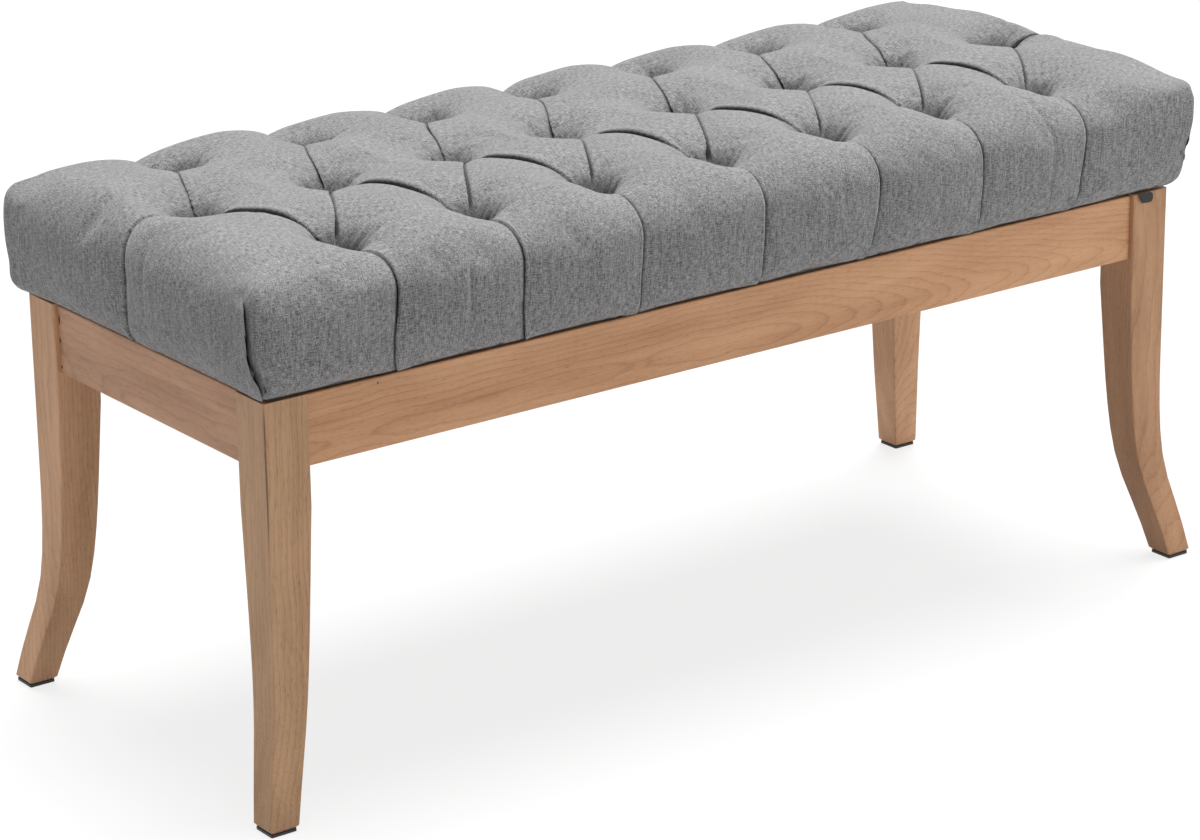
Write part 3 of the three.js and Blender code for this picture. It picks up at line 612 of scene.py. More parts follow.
def sew_corner_darts(piece):
    """Folds the spare cloth of each corner into one upright dart that ends in a dimple, and paints shade beside each
    dart's line.
    """
    points, normals, plan = frame_of_points(piece)
    x, y, down = plan.T
    height = points[:, 2]
    moved = np.zeros_like(points)
    layer = piece.data.attributes["painted_shade"]
    painted_shade = np.zeros(len(points), np.float32)
    layer.data.foreach_get("value", painted_shade)
    for side_x, side_y, lap_side, slide, most_slip, hollow, shade_reach, foot in CORNERS:
        in_x, in_y = HALF_X - x * side_x, HALF_Y - y * side_y
        here = (np.maximum(in_x, in_y) < 90 * MM) * 1.0
        off = (in_y - in_x) * lap_side
        peak = 447 if side_x < 0 else 451
        window = here * (1 - smoothstep(height, peak * MM, (peak + 12) * MM)) * smoothstep(height, 366 * MM, 378 * MM)
        outer = np.abs(off)
        upper = off > 0.2 * MM
        deep = 1 if side_y < 0 else 0.3
        rise = deep * np.where(upper, 1.6 * MM * np.exp(-outer / (12 * MM)),
                               -6.5 * MM * np.exp(-outer / (hollow * MM)))
        # Painted shade beside each dart's line: narrow and dark, with a wide faint skirt
        shade = np.maximum(np.exp(-(outer / (shade_reach * MM)) ** 2), 0.32 * np.exp(-(outer / (15 * MM)) ** 2))
        # The front right dart is seen edge-on, and the edge of its upper cloth gets painted shade too
        edge_on = side_x > 0 and side_y < 0
        shade = np.where(upper, edge_on * np.exp(-(outer / (2.6 * MM)) ** 2), shade)
        shade = shade * smoothstep(height, foot * MM, (foot + 14) * MM)
        painted_shade = np.maximum(painted_shade, deep * window * shade)
        towards = np.stack([np.where(in_x > in_y, side_x, 0), np.where(in_x > in_y, 0, side_y), np.zeros_like(x)], -1)
        slip = np.where(upper, most_slip * MM * np.exp(-outer / (8 * MM)), 0)
        moved += (normals * rise[:, None] + towards * slip[:, None]) * window[:, None]
        gather = smoothstep(height, 371 * MM, 412 * MM) if side_y < 0 else 1
        shift = slide * MM * here * gather * (1 - smoothstep(height, 458 * MM, 482 * MM))
        shift = shift * np.exp(-((in_y - in_x) / (42 * MM)) ** 2)
        moved += corner_places(x, y, side_x, side_y, shift) - corner_places(x, y, side_x, side_y, 0 * shift)
        dimple = (side_x < 0) * here * np.exp(-(np.hypot(in_x - 5 * MM, in_y - 5 * MM) / (9 * MM)) ** 2)
        moved -= normals * (3.0 * MM * dimple * np.exp(-((height - 458 * MM) / (8 * MM)) ** 2))[:, None]
    set_points(piece, points + moved)
    layer.data.foreach_set("value", painted_shade.astype(np.float32))


def wrinkle(piece):
    """Short creases that run out from each tuft, soft creases on the sides, puckers at the hem and a gentle unevenness."""
    points, normals, plan = frame_of_points(piece)
    x, y, down = plan.T
    depth = np.zeros(len(x))
    chance = np.random.default_rng(11)
    for centre in TUFTS:
        close = np.nonzero(np.hypot(x - centre[0], y - centre[1]) < 56 * MM)[0]
        dx, dy = x[close] - centre[0], y[close] - centre[1]
        reach = np.hypot(dx, dy)
        angle = np.arctan2(dy, dx)
        for k in range(13):
            heading = 2 * math.pi * (k + chance.uniform(-0.4, 0.4)) / 13
            length = chance.uniform(22, 50) * MM
            strong = chance.uniform(1.3, 3.8) * MM
            bend = chance.uniform(-0.5, 0.5) * np.clip((reach - 12 * MM) / (40 * MM), 0, 1)
            turn = angle - heading - bend
            turn = np.arctan2(np.sin(turn), np.cos(turn))
            width = 1.5 * MM + 0.07 * reach
            window = smoothstep(reach, 4 * MM, 11 * MM) * (1 - smoothstep(reach, 0.4 * length, length))
            crease = strong * window * np.exp(-(np.abs(turn) * reach / width) ** 2)
            depth[close] += np.where(np.abs(turn) < 1, crease, 0)
    soft = ((-270, -146, -308, -209, 2.4), (120, -150, 88, -209, 1.2), (322, -146, 338, -209, 1.2),
            (-470, -20, -518, -42, 1.2), (-470, 36, -518, 58, 0.4), (205, 150, 176, 209, 1.2),
            (-160, 150, -196, 209, 1.2), (480, 24, 518, 50, 1.2))
    for a, b, c, d, strong in soft:
        start, end = np.array([a, b]) * MM, np.array([c, d]) * MM
        distance = distance_to(x, y, start, end)
        along, _ = along_and_off(x, y, start, end)
        window = smoothstep(along, 0.1, 0.6) * (1 - 0.75 * smoothstep(down, 10 * MM, 70 * MM))
        depth += strong * MM * window * np.exp(-(distance / ((3.8 - 0.6 * strong) * MM)) ** 2)
    length = np.where(np.abs(np.abs(x) - HALF_X) < 1 * MM, y, x)
    for _ in range(46):
        place = chance.uniform(-0.5, 0.5) * (0.4 if chance.random() < 0.3 else 1.0)
        side = chance.integers(0, 4)
        on_side = ((y < -HALF_Y + MM), (y > HALF_Y - MM), (x < -HALF_X + MM), (x > HALF_X - MM))[side]
        fade = smoothstep(down, 40 * MM, 76 * MM)
        depth += on_side * fade * chance.uniform(0.4, 1.3) * MM * np.exp(-((length - place) / (3.0 * MM)) ** 2)
    uneven = np.zeros(len(x))
    for _ in range(14):
        wave = chance.normal(0, 1, 3)
        wave *= 2 * math.pi / (chance.uniform(45, 110) * MM) / np.linalg.norm(wave)
        uneven += np.sin(points @ wave + chance.uniform(0, 2 * math.pi))
    hem = 1 - smoothstep(down, 66 * MM, 88 * MM)
    depth += uneven * 0.16 * MM * hem
    set_points(piece, points - normals * depth[:, None])


def ring_edges(piece, loose=False):
    """Selects the open edges underneath, in edit mode, and the loose rings too where asked."""
    make_active(piece)
    bpy.ops.object.mode_set(mode="EDIT")
    bpy.ops.mesh.select_mode(type="EDGE")
    bpy.ops.mesh.select_all(action="DESELECT")
    bpy.ops.mesh.select_non_manifold(extend=False, use_wire=loose, use_multi_face=False,
                                     use_non_contiguous=False, use_verts=False)


def close_underneath(piece):
    """Turns the cloth in under the hem and lines the hollow that the board and the foam fill."""
    ring_edges(piece)
    for overhang, radius, height in ((-25, 2, 367.6), (-25, 2, 368.9), (0.35, 12, 368.9), (0.35, 12, 417.9)):
        bpy.ops.mesh.extrude_edges_move()
        bpy.ops.object.mode_set(mode="OBJECT")
        chosen = np.array([v.select for v in piece.data.vertices])
        points = points_of(piece)
        x, y, _, _, _ = ring_at(plan_of(piece)[chosen], overhang * MM, radius * MM)
        points[chosen] = np.stack([x, y, np.full_like(x, height * MM)], -1)
        set_points(piece, points)
        bpy.ops.object.mode_set(mode="EDIT")
    bpy.ops.object.mode_set(mode="OBJECT")
    # A pocket over each tie, where the twine is knotted to the cloth
    deselect_all()
    bpy.ops.mesh.primitive_circle_add(vertices=16, radius=5.5 * MM, location=(*TUFTS[0], 417.9 * MM))
    pocket = bpy.context.object
    bpy.ops.object.transform_apply(location=True)
    pockets = [pocket]
    for place in TUFTS[1:]:
        other = pocket.copy()
        other.data = pocket.data.copy()
        bpy.context.scene.collection.objects.link(other)
        set_points(other, points_of(pocket) + np.array([*(place - TUFTS[0]), 0]))
        pockets.append(other)
    deselect_all()
    for other in pockets:
        other.select_set(True)
    make_active(piece, alone=False)
    bpy.ops.object.join()
    ring_edges(piece, loose=True)
    bpy.ops.mesh.fill(use_beauty=False)
    ring_edges(piece)
    bpy.ops.mesh.extrude_edges_move(TRANSFORM_OT_translate={"value": (0, 0, 13 * MM)})
    bpy.ops.mesh.fill(use_beauty=False)
    bpy.ops.mesh.select_all(action="SELECT")
    bpy.ops.mesh.normals_make_consistent(inside=False)
    bpy.ops.object.mode_set(mode="OBJECT")


lay_folds(cover)
sew_corner_darts(cover)
wrinkle(cover)
close_underneath(cover)


# ---------------------------------------------------------------- materials

def srgb(code):
    """Linear colour of an sRGB hex value."""
    channels = [int(code[i:i + 2], 16) / 255 for i in (1, 3, 5)]
    return [c / 12.92 if c <= 0.04045 else ((c + 0.055) / 1.055) ** 2.4 for c in channels] + [1.0]


def new_material(name):
    material = bpy.data.materials.new(name)
    material.use_nodes = True
    return material, material.node_tree, material.node_tree.nodes["Principled BSDF"]


def add_node(tree, kind, settings=None, **inputs):
    """Adds a node, with its settings and with values or links for its inputs."""
    node = tree.nodes.new(kind)
    for key, value in (settings or {}).items():
        setattr(node, key, value)
    for key, value in inputs.items():
        socket = node.inputs[int(key[1:])] if key[0] == "i" and key[1:].isdigit() else node.inputs[key.replace("_", " ")]
        if isinstance(value, bpy.types.NodeSocket):
            tree.links.new(value, socket)
        else:
            socket.default_value = value
    return node


def linen_weave():
    """Linen-look melange: grey yarns of uneven thickness and shade, with a soft dusty nap that lightens edge-on, and
    painted shade in its folds and pits.
    """
    material, tree, surface = new_material("linen_look_melange_weave")
    cloth = add_node(tree, "ShaderNodeUVMap", {"uv_map": "cloth"})
    place = add_node(tree, "ShaderNodeTexCoord")
    # Slubs in the yarns: 1 mm thick, a little coarser than real so that they show, and 5 mm long
    warp = add_node(tree, "ShaderNodeMapping", i0=cloth.outputs[0], Scale=(1100, 180, 1))
    weft = add_node(tree, "ShaderNodeMapping", i0=cloth.outputs[0], Scale=(180, 1100, 1))
    a = add_node(tree, "ShaderNodeTexNoise", Vector=warp.outputs[0], Scale=1.0, Detail=1.0, Roughness=0.5)
    b = add_node(tree, "ShaderNodeTexNoise", Vector=weft.outputs[0], Scale=1.0, Detail=1.0, Roughness=0.5)
    yarns = add_node(tree, "ShaderNodeMath", {"operation": "ADD"}, i0=a.outputs[0], i1=b.outputs[0])
    # Salt and pepper of the mixed fibres, 0.7 mm
    flecks = add_node(tree, "ShaderNodeTexNoise", Vector=cloth.outputs[0], Scale=1500.0, Detail=0.0)
    # Streaks that the pull draws out down the sides, 2.5 mm by 40 mm
    hang = add_node(tree, "ShaderNodeMapping", i0=place.outputs["Object"], Scale=(400, 400, 25))
    streaks = add_node(tree, "ShaderNodeTexNoise", Vector=hang.outputs[0], Scale=1.0, Detail=2.0, Roughness=0.5)
    facing = add_node(tree, "ShaderNodeNewGeometry")
    facing = add_node(tree, "ShaderNodeSeparateXYZ", i0=facing.outputs["Normal"])
    on_sides = add_node(tree, "ShaderNodeMapRange", Value=facing.outputs[2], i1=0.7, i2=0.25, i3=0.0, i4=0.6)
    # Slow changes of shade, 60 mm
    slow = add_node(tree, "ShaderNodeTexNoise", Vector=place.outputs["Object"], Scale=17.0, Detail=2.0)
    total = add_node(tree, "ShaderNodeMath", {"operation": "MULTIPLY_ADD"}, i0=flecks.outputs[0], i1=1.0, i2=yarns.outputs[0])
    streaks = add_node(tree, "ShaderNodeMath", {"operation": "SUBTRACT"}, i0=streaks.outputs[0], i1=0.5)
    total = add_node(tree, "ShaderNodeMath", {"operation": "MULTIPLY_ADD"}, i0=streaks.outputs[0], i1=on_sides.outputs[0],
                     i2=total.outputs[0])
    total = add_node(tree, "ShaderNodeMath", {"operation": "MULTIPLY_ADD"}, i0=slow.outputs[0], i1=0.15, i2=total.outputs[0])
    shade = add_node(tree, "ShaderNodeMapRange", Value=total.outputs[0], i1=1.17, i2=1.98, i3=0.0, i4=1.0)
    colour = add_node(tree, "ShaderNodeMix", {"data_type": "RGBA"}, i0=shade.outputs[0], i6=srgb("#505050"), i7=srgb("#b4b3b4"))
    # Painted shade where the cloth laps over at folds, pleats and darts, in the tufts' pits and on the turned-under
    # front hem
    painted_shade = add_node(tree, "ShaderNodeAttribute", {"attribute_name": "painted_shade"})
    hidden = add_node(tree, "ShaderNodeMapRange", Value=painted_shade.outputs["Fac"], i1=0.1, i2=0.72, i3=0.0, i4=0.9)
    colour = add_node(tree, "ShaderNodeMix", {"data_type": "RGBA"}, i0=hidden.outputs[0], i6=colour.outputs[2],
                      i7=srgb("#2a2a2b"))
    tree.links.new(colour.outputs[2], surface.inputs["Base Color"])
    surface.inputs["Roughness"].default_value = 0.95
    surface.inputs["Specular IOR Level"].default_value = 0.1
    surface.inputs["Sheen Weight"].default_value = 0.35
    surface.inputs["Sheen Roughness"].default_value = 0.5
    surface.inputs["Sheen Tint"].default_value = srgb("#e0dfe0")
    # Relief of the yarns, 0.4 mm
    bump = add_node(tree, "ShaderNodeBump", Strength=0.35, Distance=0.0004, Height=total.outputs[0])
    tree.links.new(bump.outputs[0], surface.inputs["Normal"])
    return material


def hardwood(name, along, pith, ring, swell, light, dark, marks=()):
    """Stained hardwood under a matt lacquer: fine late-wood lines, straight fibres and short pores along the grain.

    Pith is the middle of the tree beside the board. Swell is where along the board the rings bulge into arcs, over
    what length and by how much."""
    material, tree, surface = new_material(name)
    place = add_node(tree, "ShaderNodeTexCoord")
    turn = {"x": (0, 0, 0), "y": (0, 0, -math.pi / 2), "z": (0, math.pi / 2, 0)}[along]
    grain = add_node(tree, "ShaderNodeMapping", i0=place.outputs["Object"], Rotation=turn)
    # Slow wander of the rings along the board, 170 mm long and 60 mm deep, and their ragged edge
    slow = add_node(tree, "ShaderNodeMapping", i0=grain.outputs[0], Scale=(6, 17, 17))
    wander = add_node(tree, "ShaderNodeTexNoise", Vector=slow.outputs[0], Scale=1.0, Detail=2.0, Roughness=0.45)
    quick = add_node(tree, "ShaderNodeMapping", i0=grain.outputs[0], Scale=(60, 260, 260))
    ragged = add_node(tree, "ShaderNodeTexNoise", Vector=quick.outputs[0], Scale=1.0, Detail=2.0, Roughness=0.5)
    # Distance from the middle of the tree
    across = add_node(tree, "ShaderNodeMapping", i0=grain.outputs[0], Location=(0, -pith[0], -pith[1]), Scale=(0, 1, 1))
    radius = add_node(tree, "ShaderNodeVectorMath", {"operation": "LENGTH"}, i0=across.outputs[0])
    axes = add_node(tree, "ShaderNodeSeparateXYZ", i0=grain.outputs[0])
    middle, reach, rise = swell
    bulge = add_node(tree, "ShaderNodeMapRange", {"interpolation_type": "SMOOTHSTEP"}, Value=axes.outputs[0],
                     i1=middle - reach, i2=middle + reach, i3=0.0, i4=rise)
    total = add_node(tree, "ShaderNodeMath", {"operation": "ADD"}, i0=radius.outputs["Value"], i1=bulge.outputs[0])
    total = add_node(tree, "ShaderNodeMath", {"operation": "MULTIPLY_ADD"}, i0=wander.outputs[0], i1=0.022, i2=total.outputs[0])
    total = add_node(tree, "ShaderNodeMath", {"operation": "MULTIPLY_ADD"}, i0=ragged.outputs[0], i1=0.0015, i2=total.outputs[0])
    rings = add_node(tree, "ShaderNodeMath", {"operation": "DIVIDE"}, i0=total.outputs[0], i1=ring)
    rings = add_node(tree, "ShaderNodeMath", {"operation": "FRACT"}, i0=rings.outputs[0])
    late = add_node(tree, "ShaderNodeFloatCurve", Value=rings.outputs[0])
    curve = late.mapping.curves[0]
    curve.points[0].location, curve.points[1].location = (0.0, 0.12), (1.0, 0.14)
    for spot in ((0.5, 0.2), (0.78, 0.42), (0.88, 0.8), (0.95, 0.3)):
        curve.points.new(*spot)
    late.mapping.update()
    # Fibres 0.7 mm across and 60 mm long
    fibre_run = add_node(tree, "ShaderNodeMapping", i0=grain.outputs[0], Scale=(16, 1400, 1400))
    fibres = add_node(tree, "ShaderNodeTexNoise", Vector=fibre_run.outputs[0], Scale=1.0, Detail=3.0, Roughness=0.6)
    # Pores 0.6 mm across and 9 mm long
    pore_run = add_node(tree, "ShaderNodeMapping", i0=grain.outputs[0], Scale=(110, 1700, 1700))
    pores = add_node(tree, "ShaderNodeTexNoise", Vector=pore_run.outputs[0], Scale=1.0, Detail=1.0)
    pores = add_node(tree, "ShaderNodeMapRange", Value=pores.outputs[0], i1=0.6, i2=0.72, i3=0.0, i4=0.35)
    # Broad changes of the stain
    cloud_run = add_node(tree, "ShaderNodeMapping", i0=grain.outputs[0], Scale=(7, 45, 45))
    clouds = add_node(tree, "ShaderNodeTexNoise", Vector=cloud_run.outputs[0], Scale=1.0, Detail=3.0, Roughness=0.55)
    depth = add_node(tree, "ShaderNodeMath", {"operation": "MULTIPLY"}, i0=late.outputs[0], i1=0.3)
    depth = add_node(tree, "ShaderNodeMath", {"operation": "MULTIPLY_ADD"}, i0=fibres.outputs[0], i1=0.5, i2=depth.outputs[0])
    depth = add_node(tree, "ShaderNodeMath", {"operation": "MULTIPLY_ADD"}, i0=clouds.outputs[0], i1=0.9, i2=depth.outputs[0])
    depth = add_node(tree, "ShaderNodeMath", {"operation": "ADD"}, i0=depth.outputs[0], i1=pores.outputs[0])
    depth = add_node(tree, "ShaderNodeMapRange", Value=depth.outputs[0], i1=0.48, i2=1.33, i3=0.0, i4=1.0)
    colour = add_node(tree, "ShaderNodeMix", {"data_type": "RGBA"}, i0=depth.outputs[0], i6=srgb(light), i7=srgb(dark)).outputs[2]
    for spot, low, high, stain in marks:
        # A small dark mark, such as a pin hole, a chipped edge or a thin line of painted shade: dark within low, gone
        # beyond high
        gap = add_node(tree, "ShaderNodeVectorMath", {"operation": "SUBTRACT"}, i0=place.outputs["Object"], i1=spot[:3])
        gap = add_node(tree, "ShaderNodeVectorMath", {"operation": "MULTIPLY"}, i0=gap.outputs[0], i1=spot[3:])
        size = add_node(tree, "ShaderNodeVectorMath", {"operation": "LENGTH"}, i0=gap.outputs[0])
        share = add_node(tree, "ShaderNodeMapRange", Value=size.outputs["Value"], i1=low, i2=high, i3=1.0, i4=0.0)
        colour = add_node(tree, "ShaderNodeMix", {"data_type": "RGBA"}, i0=share.outputs[0], i6=colour, i7=srgb(stain)).outputs[2]
    tree.links.new(colour, surface.inputs["Base Color"])
    gloss = add_node(tree, "ShaderNodeMapRange", Value=fibres.outputs[0], i1=0.3, i2=0.7, i3=0.42, i4=0.58)
    tree.links.new(gloss.outputs[0], surface.inputs["Roughness"])
    surface.inputs["Specular IOR Level"].default_value = 0.35
    relief = add_node(tree, "ShaderNodeMath", {"operation": "SUBTRACT"}, i0=fibres.outputs[0], i1=pores.outputs[0])
    bump = add_node(tree, "ShaderNodeBump", Strength=0.25, Distance=0.0003, Height=relief.outputs[0])
    tree.links.new(bump.outputs[0], surface.inputs["Normal"])
    return material


def board_plywood():
    """Poplar plywood: pale rotary-cut faces and edges of alternate light and dark plies."""
    material, tree, surface = new_material("poplar_plywood")
    place = add_node(tree, "ShaderNodeTexCoord")
    axes = add_node(tree, "ShaderNodeSeparateXYZ", i0=place.outputs["Object"])
    # Plies 1.7 mm thick
    plies = add_node(tree, "ShaderNodeMath", {"operation": "DIVIDE"}, i0=axes.outputs[2], i1=0.0034)
    plies = add_node(tree, "ShaderNodeMath", {"operation": "FRACT"}, i0=plies.outputs[0])
    plies = add_node(tree, "ShaderNodeMath", {"operation": "GREATER_THAN"}, i0=plies.outputs[0], i1=0.5)
    run = add_node(tree, "ShaderNodeMapping", i0=place.outputs["Object"], Scale=(9, 120, 300))
    veneer = add_node(tree, "ShaderNodeTexNoise", Vector=run.outputs[0], Scale=1.0, Detail=4.0, Roughness=0.6)
    depth = add_node(tree, "ShaderNodeMath", {"operation": "MULTIPLY_ADD"}, i0=plies.outputs[0], i1=0.35, i2=veneer.outputs[0])
    depth = add_node(tree, "ShaderNodeMapRange", Value=depth.outputs[0], i1=0.3, i2=1.0)
    colour = add_node(tree, "ShaderNodeMix", {"data_type": "RGBA"}, i0=depth.outputs[0], i6=srgb("#dcc49c"), i7=srgb("#b08c5e"))
    tree.links.new(colour.outputs[2], surface.inputs["Base Color"])
    surface.inputs["Roughness"].default_value = 0.72
    bump = add_node(tree, "ShaderNodeBump", Strength=0.2, Distance=0.0003, Height=veneer.outputs[0])
    tree.links.new(bump.outputs[0], surface.inputs["Normal"])
    return material


def cushion_foam():
    """Polyurethane foam: pale cream with fine open cells."""
    material, tree, surface = new_material("open_cell_foam")
    place = add_node(tree, "ShaderNodeTexCoord")
    # Cells 1.2 mm across
    cells = add_node(tree, "ShaderNodeTexVoronoi", Vector=place.outputs["Object"], Scale=830.0)
    clouds = add_node(tree, "ShaderNodeTexNoise", Vector=place.outputs["Object"], Scale=14.0, Detail=2.0)
    depth = add_node(tree, "ShaderNodeMath", {"operation": "MULTIPLY_ADD"}, i0=clouds.outputs[0], i1=0.4, i2=cells.outputs["Distance"])
    colour = add_node(tree, "ShaderNodeMix", {"data_type": "RGBA"}, i0=depth.outputs[0], i6=srgb("#d8cda6"), i7=srgb("#f0e9cf"))
    tree.links.new(colour.outputs[2], surface.inputs["Base Color"])
    surface.inputs["Roughness"].default_value = 0.95
    bump = add_node(tree, "ShaderNodeBump", Strength=0.5, Distance=0.0006, Height=cells.outputs["Distance"])
    tree.links.new(bump.outputs[0], surface.inputs["Normal"])
    return material


def black_dust_cloth():
    """Spun polypropylene dust cloth: black felted fibres with a grid of pressed dots."""
    material, tree, surface = new_material("spun_black_dust_cloth")
    place = add_node(tree, "ShaderNodeTexCoord")
    # Pressed dots every 1.5 mm
    dots = add_node(tree, "ShaderNodeTexVoronoi", {"feature": "F1"}, Vector=place.outputs["Object"], Scale=660.0, Randomness=0.15)
    fibres = add_node(tree, "ShaderNodeTexNoise", Vector=place.outputs["Object"], Scale=1500.0, Detail=3.0, Roughness=0.7)
    depth = add_node(tree, "ShaderNodeMath", {"operation": "MULTIPLY"}, i0=dots.outputs["Distance"], i1=fibres.outputs[0])
    colour = add_node(tree, "ShaderNodeMix", {"data_type": "RGBA"}, i0=depth.outputs[0], i6=srgb("#121214"), i7=srgb("#34343a"))
    tree.links.new(colour.outputs[2], surface.inputs["Base Color"])
    surface.inputs["Roughness"].default_value = 0.85
    bump = add_node(tree, "ShaderNodeBump", Strength=0.4, Distance=0.0003, Height=depth.outputs[0])
    tree.links.new(bump.outputs[0], surface.inputs["Normal"])
    return material


def waxed_twine():
    """Waxed flax twine: straw-coloured plies with a faint shine."""
    material, tree, surface = new_material("waxed_flax_twine")
    place = add_node(tree, "ShaderNodeTexCoord")
    # Twist of the plies, every 2 mm
    twist = add_node(tree, "ShaderNodeTexWave", {"wave_type": "BANDS", "bands_direction": "DIAGONAL"},
                     Vector=place.outputs["Object"], Scale=160.0, Distortion=1.5, Detail=1.0)
    colour = add_node(tree, "ShaderNodeMix", {"data_type": "RGBA"}, i0=twist.outputs["Fac"], i6=srgb("#a8946a"), i7=srgb("#e2d6b4"))
    tree.links.new(colour.outputs[2], surface.inputs["Base Color"])
    surface.inputs["Roughness"].default_value = 0.6
    bump = add_node(tree, "ShaderNodeBump", Strength=0.6, Distance=0.0003, Height=twist.outputs["Fac"])
    tree.links.new(bump.outputs[0], surface.inputs["Normal"])
    return material


def zinc_plated_steel():
    """Zinc-plated steel: blue-grey metal, slightly cloudy from the plating bath."""
    material, tree, surface = new_material("zinc_plated_steel")
    place = add_node(tree, "ShaderNodeTexCoord")
    # Cloudy patches 4 mm across and fine pits 0.4 mm across
    clouds = add_node(tree, "ShaderNodeTexNoise", Vector=place.outputs["Object"], Scale=250.0, Detail=4.0, Roughness=0.55)
    pits = add_node(tree, "ShaderNodeTexNoise", Vector=place.outputs["Object"], Scale=2500.0, Detail=2.0)
    colour = add_node(tree, "ShaderNodeMix", {"data_type": "RGBA"}, i0=clouds.outputs[0], i6=srgb("#a9adb2"), i7=srgb("#d3d6da"))
    tree.links.new(colour.outputs[2], surface.inputs["Base Color"])
    surface.inputs["Metallic"].default_value = 1.0
    rough = add_node(tree, "ShaderNodeMapRange", Value=clouds.outputs[0], i1=0.3, i2=0.7, i3=0.28, i4=0.45)
    tree.links.new(rough.outputs[0], surface.inputs["Roughness"])
    bump = add_node(tree, "ShaderNodeBump", Strength=0.15, Distance=0.0001, Height=pits.outputs[0])
    tree.links.new(bump.outputs[0], surface.inputs["Normal"])
    return material


def glide_polythene():
    """Moulded polyethylene: black, slightly waxy, with a fine moulded grain."""
    material, tree, surface = new_material("moulded_black_polythene")
    place = add_node(tree, "ShaderNodeTexCoord")
    # Moulded grain 0.6 mm across, and scuffs from the floor
    grain = add_node(tree, "ShaderNodeTexNoise", Vector=place.outputs["Object"], Scale=1600.0, Detail=2.0)
    scuffs = add_node(tree, "ShaderNodeTexNoise", Vector=place.outputs["Object"], Scale=180.0, Detail=5.0, Roughness=0.65)
    colour = add_node(tree, "ShaderNodeMix", {"data_type": "RGBA"}, i0=scuffs.outputs[0], i6=srgb("#131315"), i7=srgb("#2e2e31"))
    tree.links.new(colour.outputs[2], surface.inputs["Base Color"])
    rough = add_node(tree, "ShaderNodeMapRange", Value=scuffs.outputs[0], i1=0.3, i2=0.7, i3=0.38, i4=0.6)
    tree.links.new(rough.outputs[0], surface.inputs["Roughness"])
    bump = add_node(tree, "ShaderNodeBump", Strength=0.2, Distance=0.0002, Height=grain.outputs[0])
    tree.links.new(bump.outputs[0], surface.inputs["Normal"])
    return material


def tag_ribbon():
    """Woven polyester ribbon: black with fine ribs across and a low sheen."""
    material, tree, surface = new_material("woven_black_ribbon")
    place = add_node(tree, "ShaderNodeTexCoord")
    # Ribs every 0.6 mm
    ribs = add_node(tree, "ShaderNodeTexWave", {"wave_type": "BANDS", "bands_direction": "Z"},
                    Vector=place.outputs["Object"], Scale=520.0, Distortion=0.6, Detail=1.0)
    threads = add_node(tree, "ShaderNodeTexNoise", Vector=place.outputs["Object"], Scale=1800.0, Detail=2.0)
    depth = add_node(tree, "ShaderNodeMath", {"operation": "MULTIPLY"}, i0=ribs.outputs["Fac"], i1=threads.outputs[0])
    colour = add_node(tree, "ShaderNodeMix", {"data_type": "RGBA"}, i0=depth.outputs[0], i6=srgb("#0b0b0d"), i7=srgb("#1a1a1d"))
    tree.links.new(colour.outputs[2], surface.inputs["Base Color"])
    surface.inputs["Roughness"].default_value = 0.6
    surface.inputs["Sheen Weight"].default_value = 0.05
    bump = add_node(tree, "ShaderNodeBump", Strength=0.4, Distance=0.0002, Height=depth.outputs[0])
    tree.links.new(bump.outputs[0], surface.inputs["Normal"])
    return material


cover.data.materials.append(linen_weave())
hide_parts("tufted_cover")
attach(cover, "root")


# ---------------------------------------------------------------- foam, dust cloth and tag

def copy_of(name, new_name):
    """A mesh copy of a frame node, with its loose triangles merged."""
    piece = nodes[name].copy()
    piece.data = nodes[name].data.copy()
    piece.name = piece.data.name = new_name
    for key in list(piece.keys()):
        del piece[key]
    bpy.context.scene.collection.objects.link(piece)
    make_active(piece)
    bpy.ops.object.mode_set(mode="EDIT")
    bpy.ops.mesh.select_all(action="SELECT")
    bpy.ops.mesh.remove_doubles(threshold=0.00001)
    bpy.ops.mesh.tris_convert_to_quads()
    bpy.ops.object.mode_set(mode="OBJECT")
    piece.data.materials.clear()
    return piece


def padded_foam():
    """Foam block with its edges rounded over, as they press into the cover."""
    piece = copy_of("foam_core", "cushion_foam_block")
    bpy.ops.object.mode_set(mode="EDIT")
    bpy.ops.mesh.select_mode(type="EDGE")
    bpy.ops.mesh.select_all(action="DESELECT")
    bpy.ops.mesh.edges_select_sharp(sharpness=math.radians(60))
    bpy.ops.object.mode_set(mode="OBJECT")
    for edge in piece.data.edges:
        a, b = (piece.data.vertices[v].co for v in edge.vertices)
        on_outline = all(abs(p.x) > 484 * MM or abs(p.y) > 175 * MM for p in (a, b))
        edge.select = edge.select and on_outline and abs(a.z - b.z) < MM
    bpy.ops.object.mode_set(mode="EDIT")
    bpy.ops.mesh.bevel(offset=6 * MM, segments=4, profile=0.5, affect="EDGES", clamp_overlap=True)
    bpy.ops.object.mode_set(mode="OBJECT")
    bpy.ops.object.shade_smooth_by_angle(angle=math.radians(40))
    piece.data.materials.append(cushion_foam())
    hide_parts("foam_core")
    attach(piece, "root")


